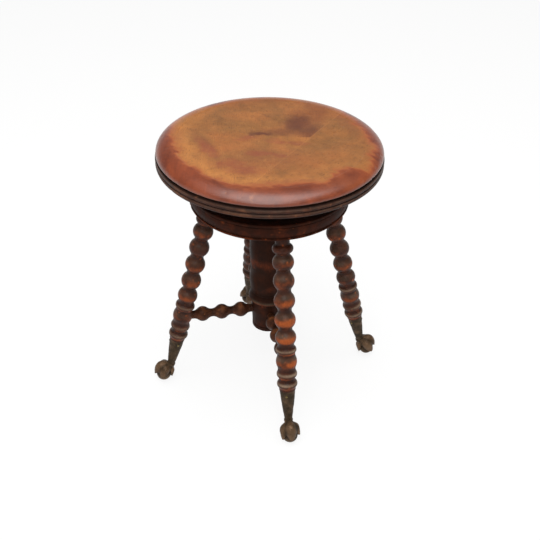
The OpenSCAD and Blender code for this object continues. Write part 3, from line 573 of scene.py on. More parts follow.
# %% The seat's wood and shellac
def shellac_seat(name):
    """Open-pored hardwood under worn shellac: a deep red-brown skin on the rim, honey wood in the middle.
    The rim gleams softly. The bare wood is duller, with pores as short dark dashes along the grain."""
    made, tree = start_material(name)
    place = put(tree, "TexCoord").outputs["Object"]
    cross = put(tree, "VectorMath", {0: place, 1: [joint_side[0] * 1000, joint_side[1] * 1000, 0]},
                operation="DOT_PRODUCT").outputs["Value"]
    cross = maths(tree, "SUBTRACT", cross, float(np.dot(JOINT_POINT, joint_side)))
    side = ramp(tree, cross, -0.3, 0.3)

    def beside(middle, width):
        """A thin line along the glue joint, at a distance to its right."""
        apart = maths(tree, "ABSOLUTE", maths(tree, "SUBTRACT", cross, middle))
        return ramp(tree, apart, 0, width, 1, 0)

    def along(turn, wide, long_size, detail):
        """Noise stretched along the grain of a plank."""
        return noise(tree, (long_size, wide, long_size), detail, -math.radians(turn), Roughness=0.6)

    # The pale line beside the glue joint is a painted highlight, where the step between the boards catches
    # light.
    line, joint_highlight = beside(0.7, 1.5), beside(-1.2, 1.6)
    grain_left, grain_right = 76, JOINT_TURN - 6
    fibre = put(tree, "Mix", {0: side, 2: along(grain_left, 1.3, 34, 5), 3: along(grain_right, 1.2, 30, 5)})
    pore = put(tree, "Mix", {0: side, 2: along(grain_left, 1.2, 9, 2), 3: along(grain_right, 1.6, 9, 2)})
    pores = ramp(tree, pore, 0.6, 0.7)
    cloud = noise(tree, 38, 4, Roughness=0.55, Distortion=0.5)
    speck = noise(tree, 2.6, 3, Roughness=0.7)
    tint = noise(tree, 64, 3)
    blotch = noise(tree, 11, 6, Roughness=0.72)
    bare_share, dark_share, red_share, gold_share, rub, grime = read(
        tree, "bare", "dark", "red", "gold", "worn", "grime")

    # The bare wood: honey tints, darker and paler blotches, grain, pores and the red left by old shellac.
    red_share = times(tree, red_share, ramp(tree, blotch, 0.3, 0.6, 0.5))
    wood = lay(tree, blend(tree, ramp(tree, cloud, 0.35, 0.66), "#86592d", "#9f6431"),
               (ramp(tree, tint, 0.48, 0.7, 0, 0.4), "#a85c2c"),
               (gold_share, "#b07238"),
               (ramp(tree, blotch, 0.5, 0.72, 0, 0.55), "#6d4524"),
               (ramp(tree, blotch, 0.46, 0.3, 0, 0.3), "#bd8048"),
               (ramp(tree, fibre, 0.35, 0.68, 0.24, 0), "#70421d"),
               (times(tree, side, 0.16), "#5f3c1c"),
               (times(tree, pores, 0.72), "#4f2b12"),
               (times(tree, red_share, 0.8), "#82402a"))
    skin = lay(tree, blend(tree, ramp(tree, cloud, 0.32, 0.7), "#5c2613", "#833c1e"),
               (ramp(tree, fibre, 0.3, 0.62, 0.3, 0), "#451c12"))

    # The whole top: skin, a thin brown edge where it wears through, bare wood, rubs, stains, specks, the
    # glue joint with a painted highlight along one side of it, and painted shade in the hollows.
    edge_break = maths(tree, "SUBTRACT", speck, 0.5)
    share = times(tree, edge_break, 0.35, bare_share)
    half_bare, share = ramp(tree, share, 0, 0.5), ramp(tree, share, 0.3)
    deep = times(tree, edge_break, 0.4, dark_share)
    lines_show = times(tree, ramp(tree, blotch, 0.4, 0.62, 0, 0.32), share)
    body = lay(tree, skin,
               (half_bare, "#98502a"),
               (share, wood),
               (ramp(tree, times(tree, rub, speck), 0.12, 0.5, 0, 0.8), "#a0653f"),
               (ramp(tree, deep, 0.04, 0.9, 0, 0.82), "#55291c"),
               (ramp(tree, speck, 0.66, 0.75, 0, 0.6), "#3a1e12"),
               (times(tree, line, lines_show), "#5e3621"),
               (times(tree, joint_highlight, lines_show), "#b57c4a"),
               (grime, "#1c110c"))

    dull = times(tree, share, 0.06, ramp(tree, speck, 0.3, 0.7, 0.34, 0.44))
    dull = times(tree, grime, 0.2, dull)
    height = times(tree, pores, -0.6, fibre)
    height = times(tree, line, -0.8, height)
    finish_off(tree, height, 0.3, VARNISH_BUMP, Base_Color=body, Roughness=dull, IOR=VARNISH_IOR,
               Specular_IOR_Level=0.2, Coat_Weight=0.9, Coat_Roughness=0.36)
    return made


seat_wood = shellac_seat("worn_shellac_on_hardwood")

# %% Making the seat
rise = points[:, 2]
at_rim, at_reeds = radius > 170, radius > 175


def on_reeds(share, width, count=REEDS):
    """Bands round the edge, one to a reed, at a share of the reed's height."""
    return sum(bell(rise, BASE_H + (k + share) * REED_H, width) for k in range(count))


seat_top = new_piece("seat_board", points + [0, 0, seat_foot], faces, seat_wood)
seat_top.data.materials.append(edge_wood)
for face in seat_top.data.polygons:
    face.material_index = int(face.center.z < (seat_foot + roll_foot) * MM)
# Painted shade darkens the cove, the quirks between the reeds, the edge under the rim and the underside. A
# painted highlight lies as a grey line along the upper slope of each reed.
in_cove = bell(rise, roll_foot - COVE_H / 2, 1.6) * (radius > 172)
in_quirks = on_reeds(0, 0.9, REEDS + 1) * at_rim
below_rim = np.clip((roll_foot + 1.5 - rise) / 2, 0, 1) * at_rim
rubbed_reeds = 0.2 * on_reeds(0.5, 2.2) * at_reeds * (0.5 + wander(points, 30, 51))
mark(seat_top, bare=bare * top_share, dark=dark * top_share, red=red * top_share,
     gold=honey_edge * top_share * 0.9, worn=rubbed_reeds + chips * 0.6 + pale * top_share,
     grime=0.85 * np.clip(in_cove + in_quirks, 0, 1) + 0.55 * (rise < 0.9) + 0.15 * below_rim,
     dust=0.22 * on_reeds(0.72, 0.6) * at_reeds * (1 + 0.4 * wander(points, 12, 52)))
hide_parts("seat_top")
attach(seat_top, "seat")
print("seat made")

# %% [markdown]
# ## The crown and the hub
# The crown is a thick turned disc that holds the tops of the legs. The hub hangs under it, with a tenon that
# is glued up through the crown's middle, and takes the stretchers. It is bored from its top: a wide hole for
# the nut, and a narrower one under it that the screw sinks into. Both are plain turned wood, so both are
# swept outlines with the frame's dark finish. Rubbed bands on the hub's swells and on its flared ring are
# where shoes have touched it.

# %% Crown
CROWN_R, CROWN_FOOT_R, CROWN_T = 133.5, 129.7, 30.5
CROWN_RIM, CROWN_STEP, CROWN_BEAD, CROWN_SWELL = 5.0, 1.6, 2.3, 1.0
HUB_TENON_R, GLUE_GAP = 27.0, 0.06
CROWN_BREAK = 0.4
CROWN_SPACING, CROWN_SIDES = 1.6, 360
crown_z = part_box("crown")[0].z / MM


def crown_side():
    """The crown's edge, from its foot up: a bead, a slightly full side, a step and a rounded rim."""
    foot, top = 2 * CROWN_BEAD, CROWN_T - CROWN_RIM - CROWN_STEP
    side = arc((CROWN_FOOT_R - CROWN_BEAD, CROWN_BEAD), CROWN_BEAD, CROWN_BEAD, -90, 90)
    start, end = CROWN_FOOT_R - CROWN_BEAD + CROWN_STEP / 2, CROWN_R - CROWN_STEP
    side += [(start + (end - start) * s + CROWN_SWELL * math.sin(math.pi * s), foot + (top - foot) * s)
             for s in shares(20)]
    groove = CROWN_R - 2 * CROWN_STEP
    side += [(groove, top), (groove, top + CROWN_STEP), (CROWN_R - CROWN_BREAK, top + CROWN_STEP),
             (CROWN_R, top + CROWN_STEP + CROWN_BREAK)]
    return side + arc((CROWN_R - CROWN_STEP, CROWN_T - CROWN_STEP), CROWN_STEP, CROWN_STEP, 0, 90, 6)


crown_bore = HUB_TENON_R + GLUE_GAP
outline = [(crown_bore, 0)] + crown_side() + [(crown_bore, CROWN_T)]
points, faces = sweep(close_set(outline, CROWN_SPACING), CROWN_SIDES, oval=0.0015, oval_turn=2.0)
radius, rise = from_axis(points), points[:, 2]
chips = knock(points, 70, 61, radius=(1.0, 3.0), depth=(0.2, 0.9), keep=radius > 126)
crown = new_piece("crown_disc", points + [0, 0, crown_z], faces, crown_wood)
# Painted shade darkens the step's groove, the crease above the bead and, in the seat's shadow, the top within
# 120 mm of the middle.
on_bead = bell(rise, CROWN_BEAD, 1.8) * (radius > 127)
on_step = bell(rise, CROWN_T - CROWN_RIM - CROWN_STEP / 2, 1.0) * (radius > 127)
mark(crown, worn=0.4 * on_bead * (1 + wander(points, 30, 63)) + chips + 0.14 + 0.1 * wander(points, 22, 64),
     grime=0.4 * on_step + 0.5 * (radius < 120) + 0.3 * bell(rise, 2 * CROWN_BEAD, 0.8))
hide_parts("crown")
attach(crown, "base")
print("crown made, z", round(crown_z, 1))

# %% Hub
HUB_R, HUB_WAIST_R, LIP_R, LIP_H = 32.5, 30.75, 34.0, 15.0
BARREL_R, BARREL_RISE, BARREL_DROP, BARREL_RIM = 29.5, 24.0, 37.5, 8.0
# Swells of the column, and the bands that are rubbed, as shares of its length: (middle, reach) and
# (middle, reach, strength).
SWELLS = [(0.13, 0.13), (0.46, 0.2)]
HUB_RUBS = [(0.11, 0.05, 0.55), (0.37, 0.06, 0.9)]
NUT_R, NUT_LEN, BORE_R, BORE_DEPTH = 21.0, 45.0, 18.0, 175.7
LIP_EASE, LIP_BREAK = 0.4, 0.3
HUB_SPACING, HUB_SIDES = 1.0, 192
hub_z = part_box("hub")[0].z / MM
lip_z = BARREL_DROP + BARREL_RISE
column_z = lip_z + LIP_H
hub_reach = crown_z - hub_z


def swell_bump(share):
    """How far the hub swells out at a share of its column, from 0 to 1."""
    apart = [abs(share - at) / reach for at, reach in SWELLS]
    return max(math.cos(math.pi / 2 * min(a, 1)) ** 2 for a in apart)


def hub_outline():
    """The hub's outside, from its foot up: the barrel's rim, its hollow side, the flared ring, the column."""
    quirk = BARREL_RIM / 8
    side = [(0, 0), (BARREL_R - 3 * quirk, 0)]
    side += arc((BARREL_R - 3 * quirk, quirk), quirk, quirk, -90, 0, 5)
    side += [(BARREL_R - 2 * quirk, BARREL_RIM - quirk), (BARREL_R - 3 * quirk, BARREL_RIM)]
    side += [(BARREL_R - 2 * quirk * math.cos(math.pi / 2 * s),
              BARREL_RIM + quirk + (BARREL_DROP - BARREL_RIM) * s) for s in shares(12)]
    side += [(BARREL_R, lip_z - 2 * quirk), (BARREL_R - quirk, lip_z), (LIP_R - quirk - LIP_EASE, lip_z),
             (LIP_R - LIP_BREAK, lip_z + LIP_BREAK)]
    flare = LIP_H - quirk
    side += [(HUB_WAIST_R - 2 * quirk + (LIP_R - HUB_WAIST_R + 2 * quirk) * math.cos(a),
              lip_z + quirk + flare * (1 - math.cos(a)) / 2 + flare * math.sin(a) / 2)
             for a in [math.pi / 2 * s for s in shares(14)]]
    side += [(HUB_WAIST_R + (HUB_R - HUB_WAIST_R) * swell_bump(s), column_z + (hub_reach - column_z) * s)
             for s in shares(80)[1:]]
    return side + [(HUB_TENON_R, hub_reach)]


top = hub_reach + CROWN_T
hub_bore = [(HUB_TENON_R, top), (NUT_R + GLUE_GAP, top), (NUT_R + GLUE_GAP, top - NUT_LEN),
            (BORE_R, top - NUT_LEN), (BORE_R, top - BORE_DEPTH), (0, top - BORE_DEPTH)]
points, faces = sweep(close_set(hub_outline(), HUB_SPACING) + hub_bore, HUB_SIDES, oval=0.008, oval_turn=0.4)
radius, rise = from_axis(points), points[:, 2]
chips = knock(points, 70, 71, radius=(0.9, 2.6), depth=(0.15, 0.7), keep=(radius > 24) & (rise < hub_reach))
hub = new_piece("hub_column", points + [0, 0, hub_z], faces, hub_wood)
share = (rise - column_z) / (hub_reach - column_z)
bands = sum(strength * bell(share, at, reach) for at, reach, strength in HUB_RUBS)
barrel = 0.12 * (rise < lip_z) * (1 + 1.6 * wander(points, 16, 73))
# Painted shade darkens the groove above the barrel's rim, the undercut below the lip, the foot of the column
# and the top near the crown. A painted highlight lies on the flared ring's upper slope.
mark(hub, worn=bands * (0.6 + 0.35 * wander(points, 26, 72)) * (share > 0)
     + 0.75 * bell(rise, lip_z + 1.2, 2.2) + barrel + chips,
     grime=0.6 * bell(rise, BARREL_RIM, 1.2) + 0.5 * np.clip((share - 0.75) / 0.25, 0, 1)
     + 0.6 * bell(rise, column_z + 4, 6) + 0.9 * bell(rise, lip_z - 2, 2.2),
     dust=0.22 * bell(rise, lip_z + 3.5, 2.5) * (0.8 + 0.8 * wander(points, 18, 74)))
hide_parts("hub")
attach(hub, "base")
print("hub made, z %.1f to %.1f" % (hub_z, crown_z))

# %% [markdown]
# ## The legs
# Each leg was turned between centres: a row of round beads, then three thin rings and one longer bead where
# the stretcher goes in, and a plain end that the metal foot is driven onto. The crests stand out, so shoes
# and brooms take their varnish first: bare wood shows on the beads' crests and low on the thin rings. A grey
# sheen is painted on their upper slopes as a painted highlight, and the waists get a dark line of painted
# shade. All four come from one outline, each with its own dents and wear.

# %% Leg outline and wear
SPLAY = math.radians(13.9)
LEG_INSET = 32.4
LEG_RING_R = CROWN_FOOT_R - LEG_INSET
TENON, NECK_R, NECK_LEN = 24.0, 11.5, 22.0
BEADS, BEAD_R, WAIST_R, BEAD_HALF, END_HALF = 5, 17.2, 11.2, 17.0, 14.5
COLLAR_R, COLLAR_HALF = 16.8, 8.7
RING_R, RING_HALF, LOW_RING_HALF = 17.1, 7.6, 9.2
LONG_R, LONG_HALF, QUIRK_R, NECK_QUIRK_R = 17.4, 13.8, 14.8, 13.4
FILLET_R, FILLET_LEN, FILLET_CHAMFER = 13.9, 2.0, 0.4
collar_at = NECK_LEN + COLLAR_HALF
beads_at = collar_at + COLLAR_HALF
beads_end = beads_at + 4 * END_HALF + 2 * (BEADS - 2) * BEAD_HALF
ring_at = beads_end + RING_HALF
long_at = ring_at + RING_HALF + LONG_HALF
second_at = long_at + LONG_HALF + LOW_RING_HALF
third_at = second_at + 2 * LOW_RING_HALF
socket_at = third_at + LOW_RING_HALF + FILLET_LEN

middle = [(beads_at + 2 * END_HALF + (2 * k + 1) * BEAD_HALF, BEAD_HALF) for k in range(BEADS - 2)]
row = [(beads_at + END_HALF, END_HALF)] + middle + [(beads_end - END_HALF, END_HALF)]
END_ROUND, COLLAR_ROUND, RING_ROUND, LONG_ROUND = 1.05, 0.86, 0.76, 1.5
leg_crests = [(collar_at, COLLAR_HALF, COLLAR_R, COLLAR_HALF * COLLAR_ROUND, NECK_R, WAIST_R)]
for at, half in row:
    rounding = END_HALF * END_ROUND if half == END_HALF else BEAD_R
    leg_crests.append((at, half, BEAD_R, rounding, WAIST_R, NECK_QUIRK_R if at == row[-1][0] else WAIST_R))
leg_crests += [(ring_at, RING_HALF, RING_R, RING_HALF * RING_ROUND, NECK_QUIRK_R, QUIRK_R),
               (long_at, LONG_HALF, LONG_R, LONG_HALF * LONG_ROUND, QUIRK_R, QUIRK_R),
               (second_at, LOW_RING_HALF, RING_R, LOW_RING_HALF * RING_ROUND, QUIRK_R, NECK_QUIRK_R),
               (third_at, LOW_RING_HALF, RING_R, LOW_RING_HALF * RING_ROUND, NECK_QUIRK_R, FILLET_R)]
SOCKET_LEN, SOCKET_TOP_R, SOCKET_END_R, SOCKET_WALL, SOCKET_DEPTH = 60.0, 13.4, 6.2, 1.4, 42.0
SOCKET_FIT = 0.1
LEG_SPACING = 0.9


def socket_r(at):
    """Outer radius of the metal socket, at a distance below its top."""
    return SOCKET_TOP_R + (SOCKET_END_R - SOCKET_TOP_R) * at / SOCKET_LEN


leg_outline = [(0, -TENON), (NECK_R, -TENON)]
for one in leg_crests:
    leg_outline += crest(*one)
leg_outline += [(FILLET_R, socket_at - FILLET_CHAMFER), (FILLET_R - FILLET_CHAMFER, socket_at),
                (socket_r(0) - SOCKET_WALL - SOCKET_FIT, socket_at),
                (socket_r(SOCKET_DEPTH) - SOCKET_WALL - SOCKET_FIT, socket_at + SOCKET_DEPTH),
                (0, socket_at + SOCKET_DEPTH)]
leg_outline = close_set(leg_outline, LEG_SPACING)
print("leg crests:", len(leg_crests), "from %.1f to the socket at %.1f" % (collar_at, socket_at))

# %% Making the four legs
LEGS = ["front", "right", "back", "left"]
LEG_SIDES = 112
# How much each crest is rubbed, from the collar down, on each leg.
LEG_RUB = {"front": [0.1, 0.45, 0.65, 0.95, 1.0, 0.95, 0.65, 1.0, 0.6, 0.6],
           "right": [0.2, 0.35, 0.5, 0.5, 0.5, 0.45, 0.45, 0.5, 0.45, 0.5],
           "back": [0.1, 0.15, 0.2, 0.2, 0.2, 0.2, 0.2, 0.2, 0.3, 0.3],
           "left": [0.2, 0.3, 0.45, 0.5, 0.55, 0.5, 0.45, 0.55, 0.45, 0.5]}
# How strong the painted grey sheen, a painted highlight, is on the upper slopes of each leg.
LEG_SHEEN = {"front": 1.0, "right": 0.8, "back": 0.3, "left": 0.55}


def leg_plane(k):
    """Turns a piece that is drawn in the plane of the X axis into the plane of leg k."""
    return Matrix.Rotation(math.radians(90 * k - 90), 4, "Z")


def leg_place(k):
    """Where a piece that is drawn down its own axis lies as leg k."""
    lean = Matrix.Rotation(math.pi - SPLAY, 4, "Y")
    return leg_plane(k) @ Matrix.Translation((LEG_RING_R * MM, 0, crown_z * MM)) @ lean


# A crest whose half length is under this is a thin ring, and is rubbed lower down than a bead.
THIN_RING = 9.5


def painted_upper_sheen(at, crests):
    """A painted grey sheen on the upper slope of each crest, a painted highlight, strong on the thin rings.
    """
    sheen = np.zeros(len(at))
    for middle, half, *_ in crests:
        strong, up, width = (0.8, 0.24, 0.24) if half < THIN_RING else (0.24, 0.52, 0.3)
        sheen += strong * bell(at, middle - up * half, width * half)
    return sheen


def crest_wear(at, rubs, crests, low_share=0.03):
    """Rubbed bands on each crest, lower down on a thin ring, and painted shade in the waists between them."""
    worn, grime = np.zeros(len(at)), np.zeros(len(at))
    for rub, (middle, half, *_) in zip(rubs, crests):
        low, width = (0.55, 0.3) if half < THIN_RING else (low_share, 0.45)
        worn += rub * bell(at, middle + low * half, width * half)
        for edge in (middle - half, middle + half):
            grime = np.maximum(grime, 0.5 * bell(at, edge, 2.6))
    return worn, grime


for k, side in enumerate(LEGS):
    points, faces = sweep(leg_outline, LEG_SIDES, oval=0.018, oval_turn=k)
    run = points[:, 2]
    chips = knock(points, 80, 80 + k, radius=(0.8, 2.6), depth=(0.12, 0.6),
                  keep=(run > NECK_LEN) & (run < socket_at))
    leg = new_piece("leg_turned_" + side, points, faces, leg_wood, leg_place(k))
    worn, grime = crest_wear(run, LEG_RUB[side], leg_crests)
    worn = worn * (0.8 + 0.3 * wander(points, 24, 90 + k)) + 1.3 * chips
    last_fillet = bell(run, socket_at - 4.5, 3.4)
    worn *= 1 - 0.6 * last_fillet
    sheen = LEG_SHEEN[side] * painted_upper_sheen(run, leg_crests[1:])
    # The upper slopes get a painted grey sheen, a painted highlight, and the waists painted shade.
    mark(leg, worn=worn + 0.3 * last_fillet,
         grime=grime * (1 - 0.5 * np.clip(worn, 0, 1)) * (1 - last_fillet),
         dust=sheen * (0.75 + 0.3 * wander(points, 14, 95 + k)))
    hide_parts("leg_" + side)
    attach(leg, "base")
print("legs made, points each:", len(points))

# %% [markdown]
# ## The stretchers
# Three turned stretchers are left, from the hub to the front, back and left legs. The fourth, to the right
# leg, has gone, and only its empty sockets remain. They are beaded like the legs, and rubbed on top, where
# people put their feet.

# %% Stretchers
STRETCHER_BEADS, STRETCHER_R, STRETCHER_WAIST = 3, 13.3, 7.1
INNER_NECK, OUTER_NECK, HUB_TENON, LEG_MORTISE = 2.8, 0.8, 12.0, 9.0
stretcher_z = hub_z + BARREL_DROP
long_ring_r = LEG_RING_R + (crown_z - stretcher_z) * math.tan(SPLAY)
stretcher_end = long_ring_r - LONG_R / math.cos(SPLAY)
bead_half = (stretcher_end - BARREL_R - INNER_NECK - OUTER_NECK) / (2 * STRETCHER_BEADS)
stretcher_crests = [(BARREL_R + INNER_NECK + (2 * k + 1) * bead_half, bead_half, STRETCHER_R, STRETCHER_R,
                     STRETCHER_WAIST, STRETCHER_WAIST) for k in range(STRETCHER_BEADS)]
outline = [(0, BARREL_R - HUB_TENON), (STRETCHER_WAIST, BARREL_R - HUB_TENON)]
for one in stretcher_crests:
    outline += crest(*one)
outline += [(STRETCHER_WAIST, stretcher_end + LEG_MORTISE), (0, stretcher_end + LEG_MORTISE)]
outline = close_set(outline, LEG_SPACING)
STRETCHER_SIDES = 96
for k, side in enumerate(LEGS):
    if side == "right":
        continue
    points, faces = sweep(outline, STRETCHER_SIDES, oval=0.02, oval_turn=0.7 * k)
    chips = knock(points, 35, 100 + k, radius=(0.8, 2.4), depth=(0.12, 0.5))
    lie = leg_plane(k) @ Matrix.Translation((0, 0, stretcher_z * MM)) @ Matrix.Rotation(math.pi / 2, 4, "Y")
    rail = new_piece("stretcher_turned_" + side, points, faces, stretcher_wood, lie)
    worn, grime = crest_wear(points[:, 2], [0.7] * STRETCHER_BEADS, stretcher_crests, low_share=0.0)
    upward = np.clip(-points[:, 0] / STRETCHER_R, 0, 1)
    # The waists get painted shade.
    mark(rail, worn=worn * upward ** 1.5 * (0.7 + 0.4 * wander(points, 20, 110 + k)) + chips,
         grime=0.8 * grime)
    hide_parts("stretcher_" + side)
    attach(rail, "base")
print("stretcher from %.1f to %.1f at z %.1f" % (BARREL_R, stretcher_end, stretcher_z))

# %% [markdown]
# ## The metals
# The feet are castings with a brown tarnish, rubbed paler on the knuckles and balls. The spider and nut are
# plain dark castings, the screw is turned steel under old grease, and small screws are dull steel. Metal
# has no colour of its own beyond its reflection, so each has a tinted base colour, and the tarnish is a
# rough, less metallic layer that noise breaks up. The IOR of a metal is left as it is.

# %% A tarnished metal
SAND = 1.3


def tarnished_metal(name, clean, tarnish, pit_and_shade, roughness, patch, metallic, bump_depth=0.15):
    """Old metal: rubbed metal on high places, tarnish elsewhere, and fine pits from the sand mould. The pits'
    colour is also laid as painted shade.
    """
    made, tree = start_material(name)
    patches = noise(tree, patch, 5, Roughness=0.65, Distortion=0.4)
    sand = noise(tree, SAND, 4, Roughness=0.7)
    worn, grime = read(tree, "worn", "grime")
    rubbed = ramp(tree, times(tree, patches, 0.9, worn), 0.38, 1.05)
    pits = ramp(tree, sand, 0.56, 0.72, 0, 0.6)
    body = lay(tree, blend(tree, rubbed, tarnish, clean), (pits, pit_and_shade), (times(tree, grime, 0.85), pit_and_shade))
    shine = ramp(tree, rubbed, at_low=0.1 * metallic, at_high=metallic)
    dull = ramp(tree, rubbed, at_low=roughness + 0.2, at_high=roughness)
    dull = times(tree, pits, 0.25, dull)
    finish_off(tree, sand, 0.5, bump_depth, Base_Color=body, Metallic=shine, Roughness=dull,
               Specular_IOR_Level=0.15)
    return made

# %% The metals
# Each has its colour where rubbed, its tarnish and its pits, whose colour is also the painted shade, then
# its roughness, the size of its patches in millimetres, how metallic it is, and how deep its surface goes in
# millimetres.
foot_metal = tarnished_metal("tarnished_cast_foot", "#69513c", "#302515", "#1d150a", 0.42, 9, 0.4)
ball_metal = tarnished_metal("rubbed_cast_ball", "#66523d", "#3b2e20", "#231a10", 0.45, 9, 0.4)
spider_iron = tarnished_metal("black_cast_iron", "#4f4b47", "#2b2724", "#1a1715", 0.5, 14, 0.7, 0.25)
screw_steel = tarnished_metal("greased_turned_steel", "#77736c", "#45403a", "#241f1b", 0.3, 20, 0.95, 0.05)
small_steel = tarnished_metal("dull_screw_steel", "#7d7870", "#4d473f", "#2b2622", 0.4, 5, 0.9, 0.05)
brad_metal = tarnished_metal("rubbed_brass_brad", "#75653f", "#574932", "#302719", 0.35, 3, 0.8, 0.03)
print("metals made")

# %% Materials for the iron that stays as the CAD made it
KEPT = {"seat_spider": spider_iron, "spider_screws": small_steel, "screw_pin": small_steel,
        "stop_washer": spider_iron, "washer_pin": small_steel, "lift_nut": spider_iron,
        "nut_screws": small_steel}
for name, finish in KEPT.items():
    node_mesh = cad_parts[name].data
    node_mesh.materials.clear()
    node_mesh.materials.append(finish)
print("kept nodes:", sorted(KEPT))

# %% [markdown]
# ## The lift screw
# The real screw has a coarse thread of 8 mm pitch, cut right-handed, so the seat rises when it is turned
# anticlockwise from above. The CAD thread has few sides. Here the same thread form is wound with many
# points to a turn, so that it reads as turned steel where it shows between seat and crown.

# %% Lift screw
PITCH, CREST_R, ROOT_R, SHANK_R, JOURNAL_R = 8.0, 14.0, 11.0, 10.0, 8.0
TAIL, STOP_WASHER_T, WASHER_GAP, END_CHAMFER = 9.0, 5.0, 0.2, 0.8
screw_low, screw_high = (corner.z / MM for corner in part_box("lift_screw"))
thread_foot = screw_low + TAIL + STOP_WASHER_T + WASHER_GAP
thread_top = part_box("seat_spider")[0].z / MM
TURN_POINTS = 72
# One turn of the thread's form: (share of the pitch, share of the depth).
FORM = [(0.0, 0.0), (0.08, 0.0), (0.16, 0.0), (0.22, 0.03), (0.27, 0.3), (0.37, 0.7), (0.42, 0.97),
        (0.5, 1.0), (0.6, 1.0), (0.7, 1.0), (0.8, 0.97), (0.85, 0.75), (0.95, 0.25)]
turns = int((thread_top - thread_foot) // PITCH) - 1
rows = len(FORM)
around = np.linspace(0, 2 * math.pi, TURN_POINTS, endpoint=False)
thread = []
for j in range(turns * rows + rows + 1):
    share, depth = FORM[j % rows]
    rise = thread_foot + (j // rows + share + around / (2 * math.pi)) * PITCH
    r = ROOT_R + (CREST_R - ROOT_R) * depth
    thread.append(np.stack([r * np.cos(around), r * np.sin(around), rise], axis=1))
points = np.vstack(thread)


def wound(j, k):
    """Number of a point, where the end of one turn is the start of the next."""
    return wound(j + rows, 0) if k == TURN_POINTS else j * TURN_POINTS + k


last = turns * rows
faces = [(wound(j, k), wound(j, k + 1), wound(j + 1, k + 1), wound(j + 1, k))
         for j in range(last) for k in range(TURN_POINTS)]
low_point, high_point = len(points), len(points) + 1
points = np.vstack([points, [[0, 0, thread_foot + PITCH / 2], [0, 0, thread_foot + (turns + 1.5) * PITCH]]])
faces += [(low_point, wound(0, k + 1), wound(0, k)) for k in range(TURN_POINTS)]
faces += [(low_point, wound(j, 0), wound(j + 1, 0)) for j in range(rows)]
faces += [(high_point, wound(last, k), wound(last, k + 1)) for k in range(TURN_POINTS)]
faces += [(high_point, wound(last + j + 1, 0), wound(last + j, 0)) for j in range(rows)]
core = sweep([(0, screw_low), (JOURNAL_R - END_CHAMFER, screw_low), (JOURNAL_R, screw_low + END_CHAMFER),
              (JOURNAL_R, thread_foot), (SHANK_R, thread_foot), (SHANK_R, screw_high), (0, screw_high)],
             TURN_POINTS)
points, faces = joined([(points, faces), core])
screw = new_piece("lift_screw_threaded", points, faces, screw_steel)
radius = from_axis(points)
mark(screw, worn=np.clip((radius - 12.5) / 1.5, 0, 1) * 0.6, grime=np.clip((12.0 - radius) / 1.5, 0, 1) * 0.8)
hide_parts("lift_screw")
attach(screw, "seat")
print("thread: %d turns of %.0f mm" % (turns, PITCH))

# %% [markdown]
# ## The feet
# Each foot is one casting: a tapered socket that is driven onto the leg, a round ankle, and a claw whose
# talons close over a ball. Three small brads hold the socket. A claw could be sculpted by hand in Blender.
# Here its skin is worked out as the CAD does it, as a distance from the ball's middle in each direction, but
# far more finely and with knuckles. Then socket, ankle and claw are melted into one body by a voxel remesh,
# which rounds the corners where they meet, as a casting does.

# %% The claw's skin
BALL_R, BALL_GAP = 13.0, 0.15
ANKLE_OUT, ANKLE_R = 25.7, 7.8
ANKLE_LEAN = math.radians(33.9)
ankle_at = socket_at + SOCKET_LEN
ball_at = LEG_RING_R + ankle_at * math.sin(SPLAY) + ANKLE_OUT * math.sin(ANKLE_LEAN)
KNOB_R, KNOB_RISE, TALON_RISE = 16.0, 10.0, 2.2
WEB_T, WEB_REACH = 3.0, 54.0
# Each talon: its turn round the ankle, half its width, its strength, its reach in degrees, its tip's
# thickness and the extra swell of its middle.
TALONS = [(0, 38, 1.0, 84, 3.9, 0), (72, 38, 1.0, 82, 4.3, 0), (180, 62, 1.3, 108, 3.6, 3.2),
          (288, 44, 1.0, 98, 3.2, 0.8)]
CLAW_SIDES, CLAW_RINGS = 180, 56
# The claw's inside stands a little clear of the ball.
CLAW_EASE = 1.02
claw_r = (BALL_R + BALL_GAP) * CLAW_EASE
ankle_dir = np.array([-math.sin(ANKLE_LEAN), 0, math.cos(ANKLE_LEAN)])
outward_dir = np.array([math.cos(ANKLE_LEAN), 0, math.sin(ANKLE_LEAN)])
sideways = np.array([0, 1.0, 0])


def talon_lobe(turn):
    """How much of a talon there is at a turn round the ankle, from 0 on the web to 1 or more on a ridge,
    with that talon's reach, tip and swell."""
    best = (0, 0, 0, 0)
    for at, half_turn, strength, reach, tip, swell in TALONS:
        apart = (180 - abs(180 - abs(turn - at))) / half_turn
        if apart < 1:
            best = max(best, (strength * math.cos(math.pi / 2 * apart) ** 2, reach, tip, swell))
    return best


def skin_ray(share, turn):
    """Direction and distance of the claw's outside, at a share of the way from the ankle to its edge."""
    lobe, reach, tip, swell = talon_lobe(turn)
    edge = math.radians(WEB_REACH + (reach - WEB_REACH) * lobe)
    t = math.radians(turn)
    up, out = math.cos(ANKLE_LEAN), math.cos(t) * math.sin(ANKLE_LEAN)
    skirt = math.atan2(out, up) + math.acos(math.cos(edge) / math.hypot(up, out))
    a = share * skirt
    way = math.cos(a) * ankle_dir + math.sin(a) * (math.cos(t) * outward_dir + math.sin(t) * sideways)
    knob = KNOB_RISE * way[2] + math.sqrt(KNOB_R ** 2 - KNOB_RISE ** 2 * (1 - way[2] ** 2))
    knuckle = 0.45 * math.cos(4.4 * math.pi * share) * lobe * math.sin(math.pi * share)
    valley = -0.5 * max(0, 1 - lobe) * math.sin(math.pi * share) ** 2
    full = knob + TALON_RISE * lobe * math.sin(math.pi / 2 * share) + knuckle + valley
    rim = claw_r + WEB_T + (tip - WEB_T) * lobe
    return way, full + (rim - full) * share ** 4 + swell * min(lobe, 1) * math.sin(math.pi * share ** 1.5)


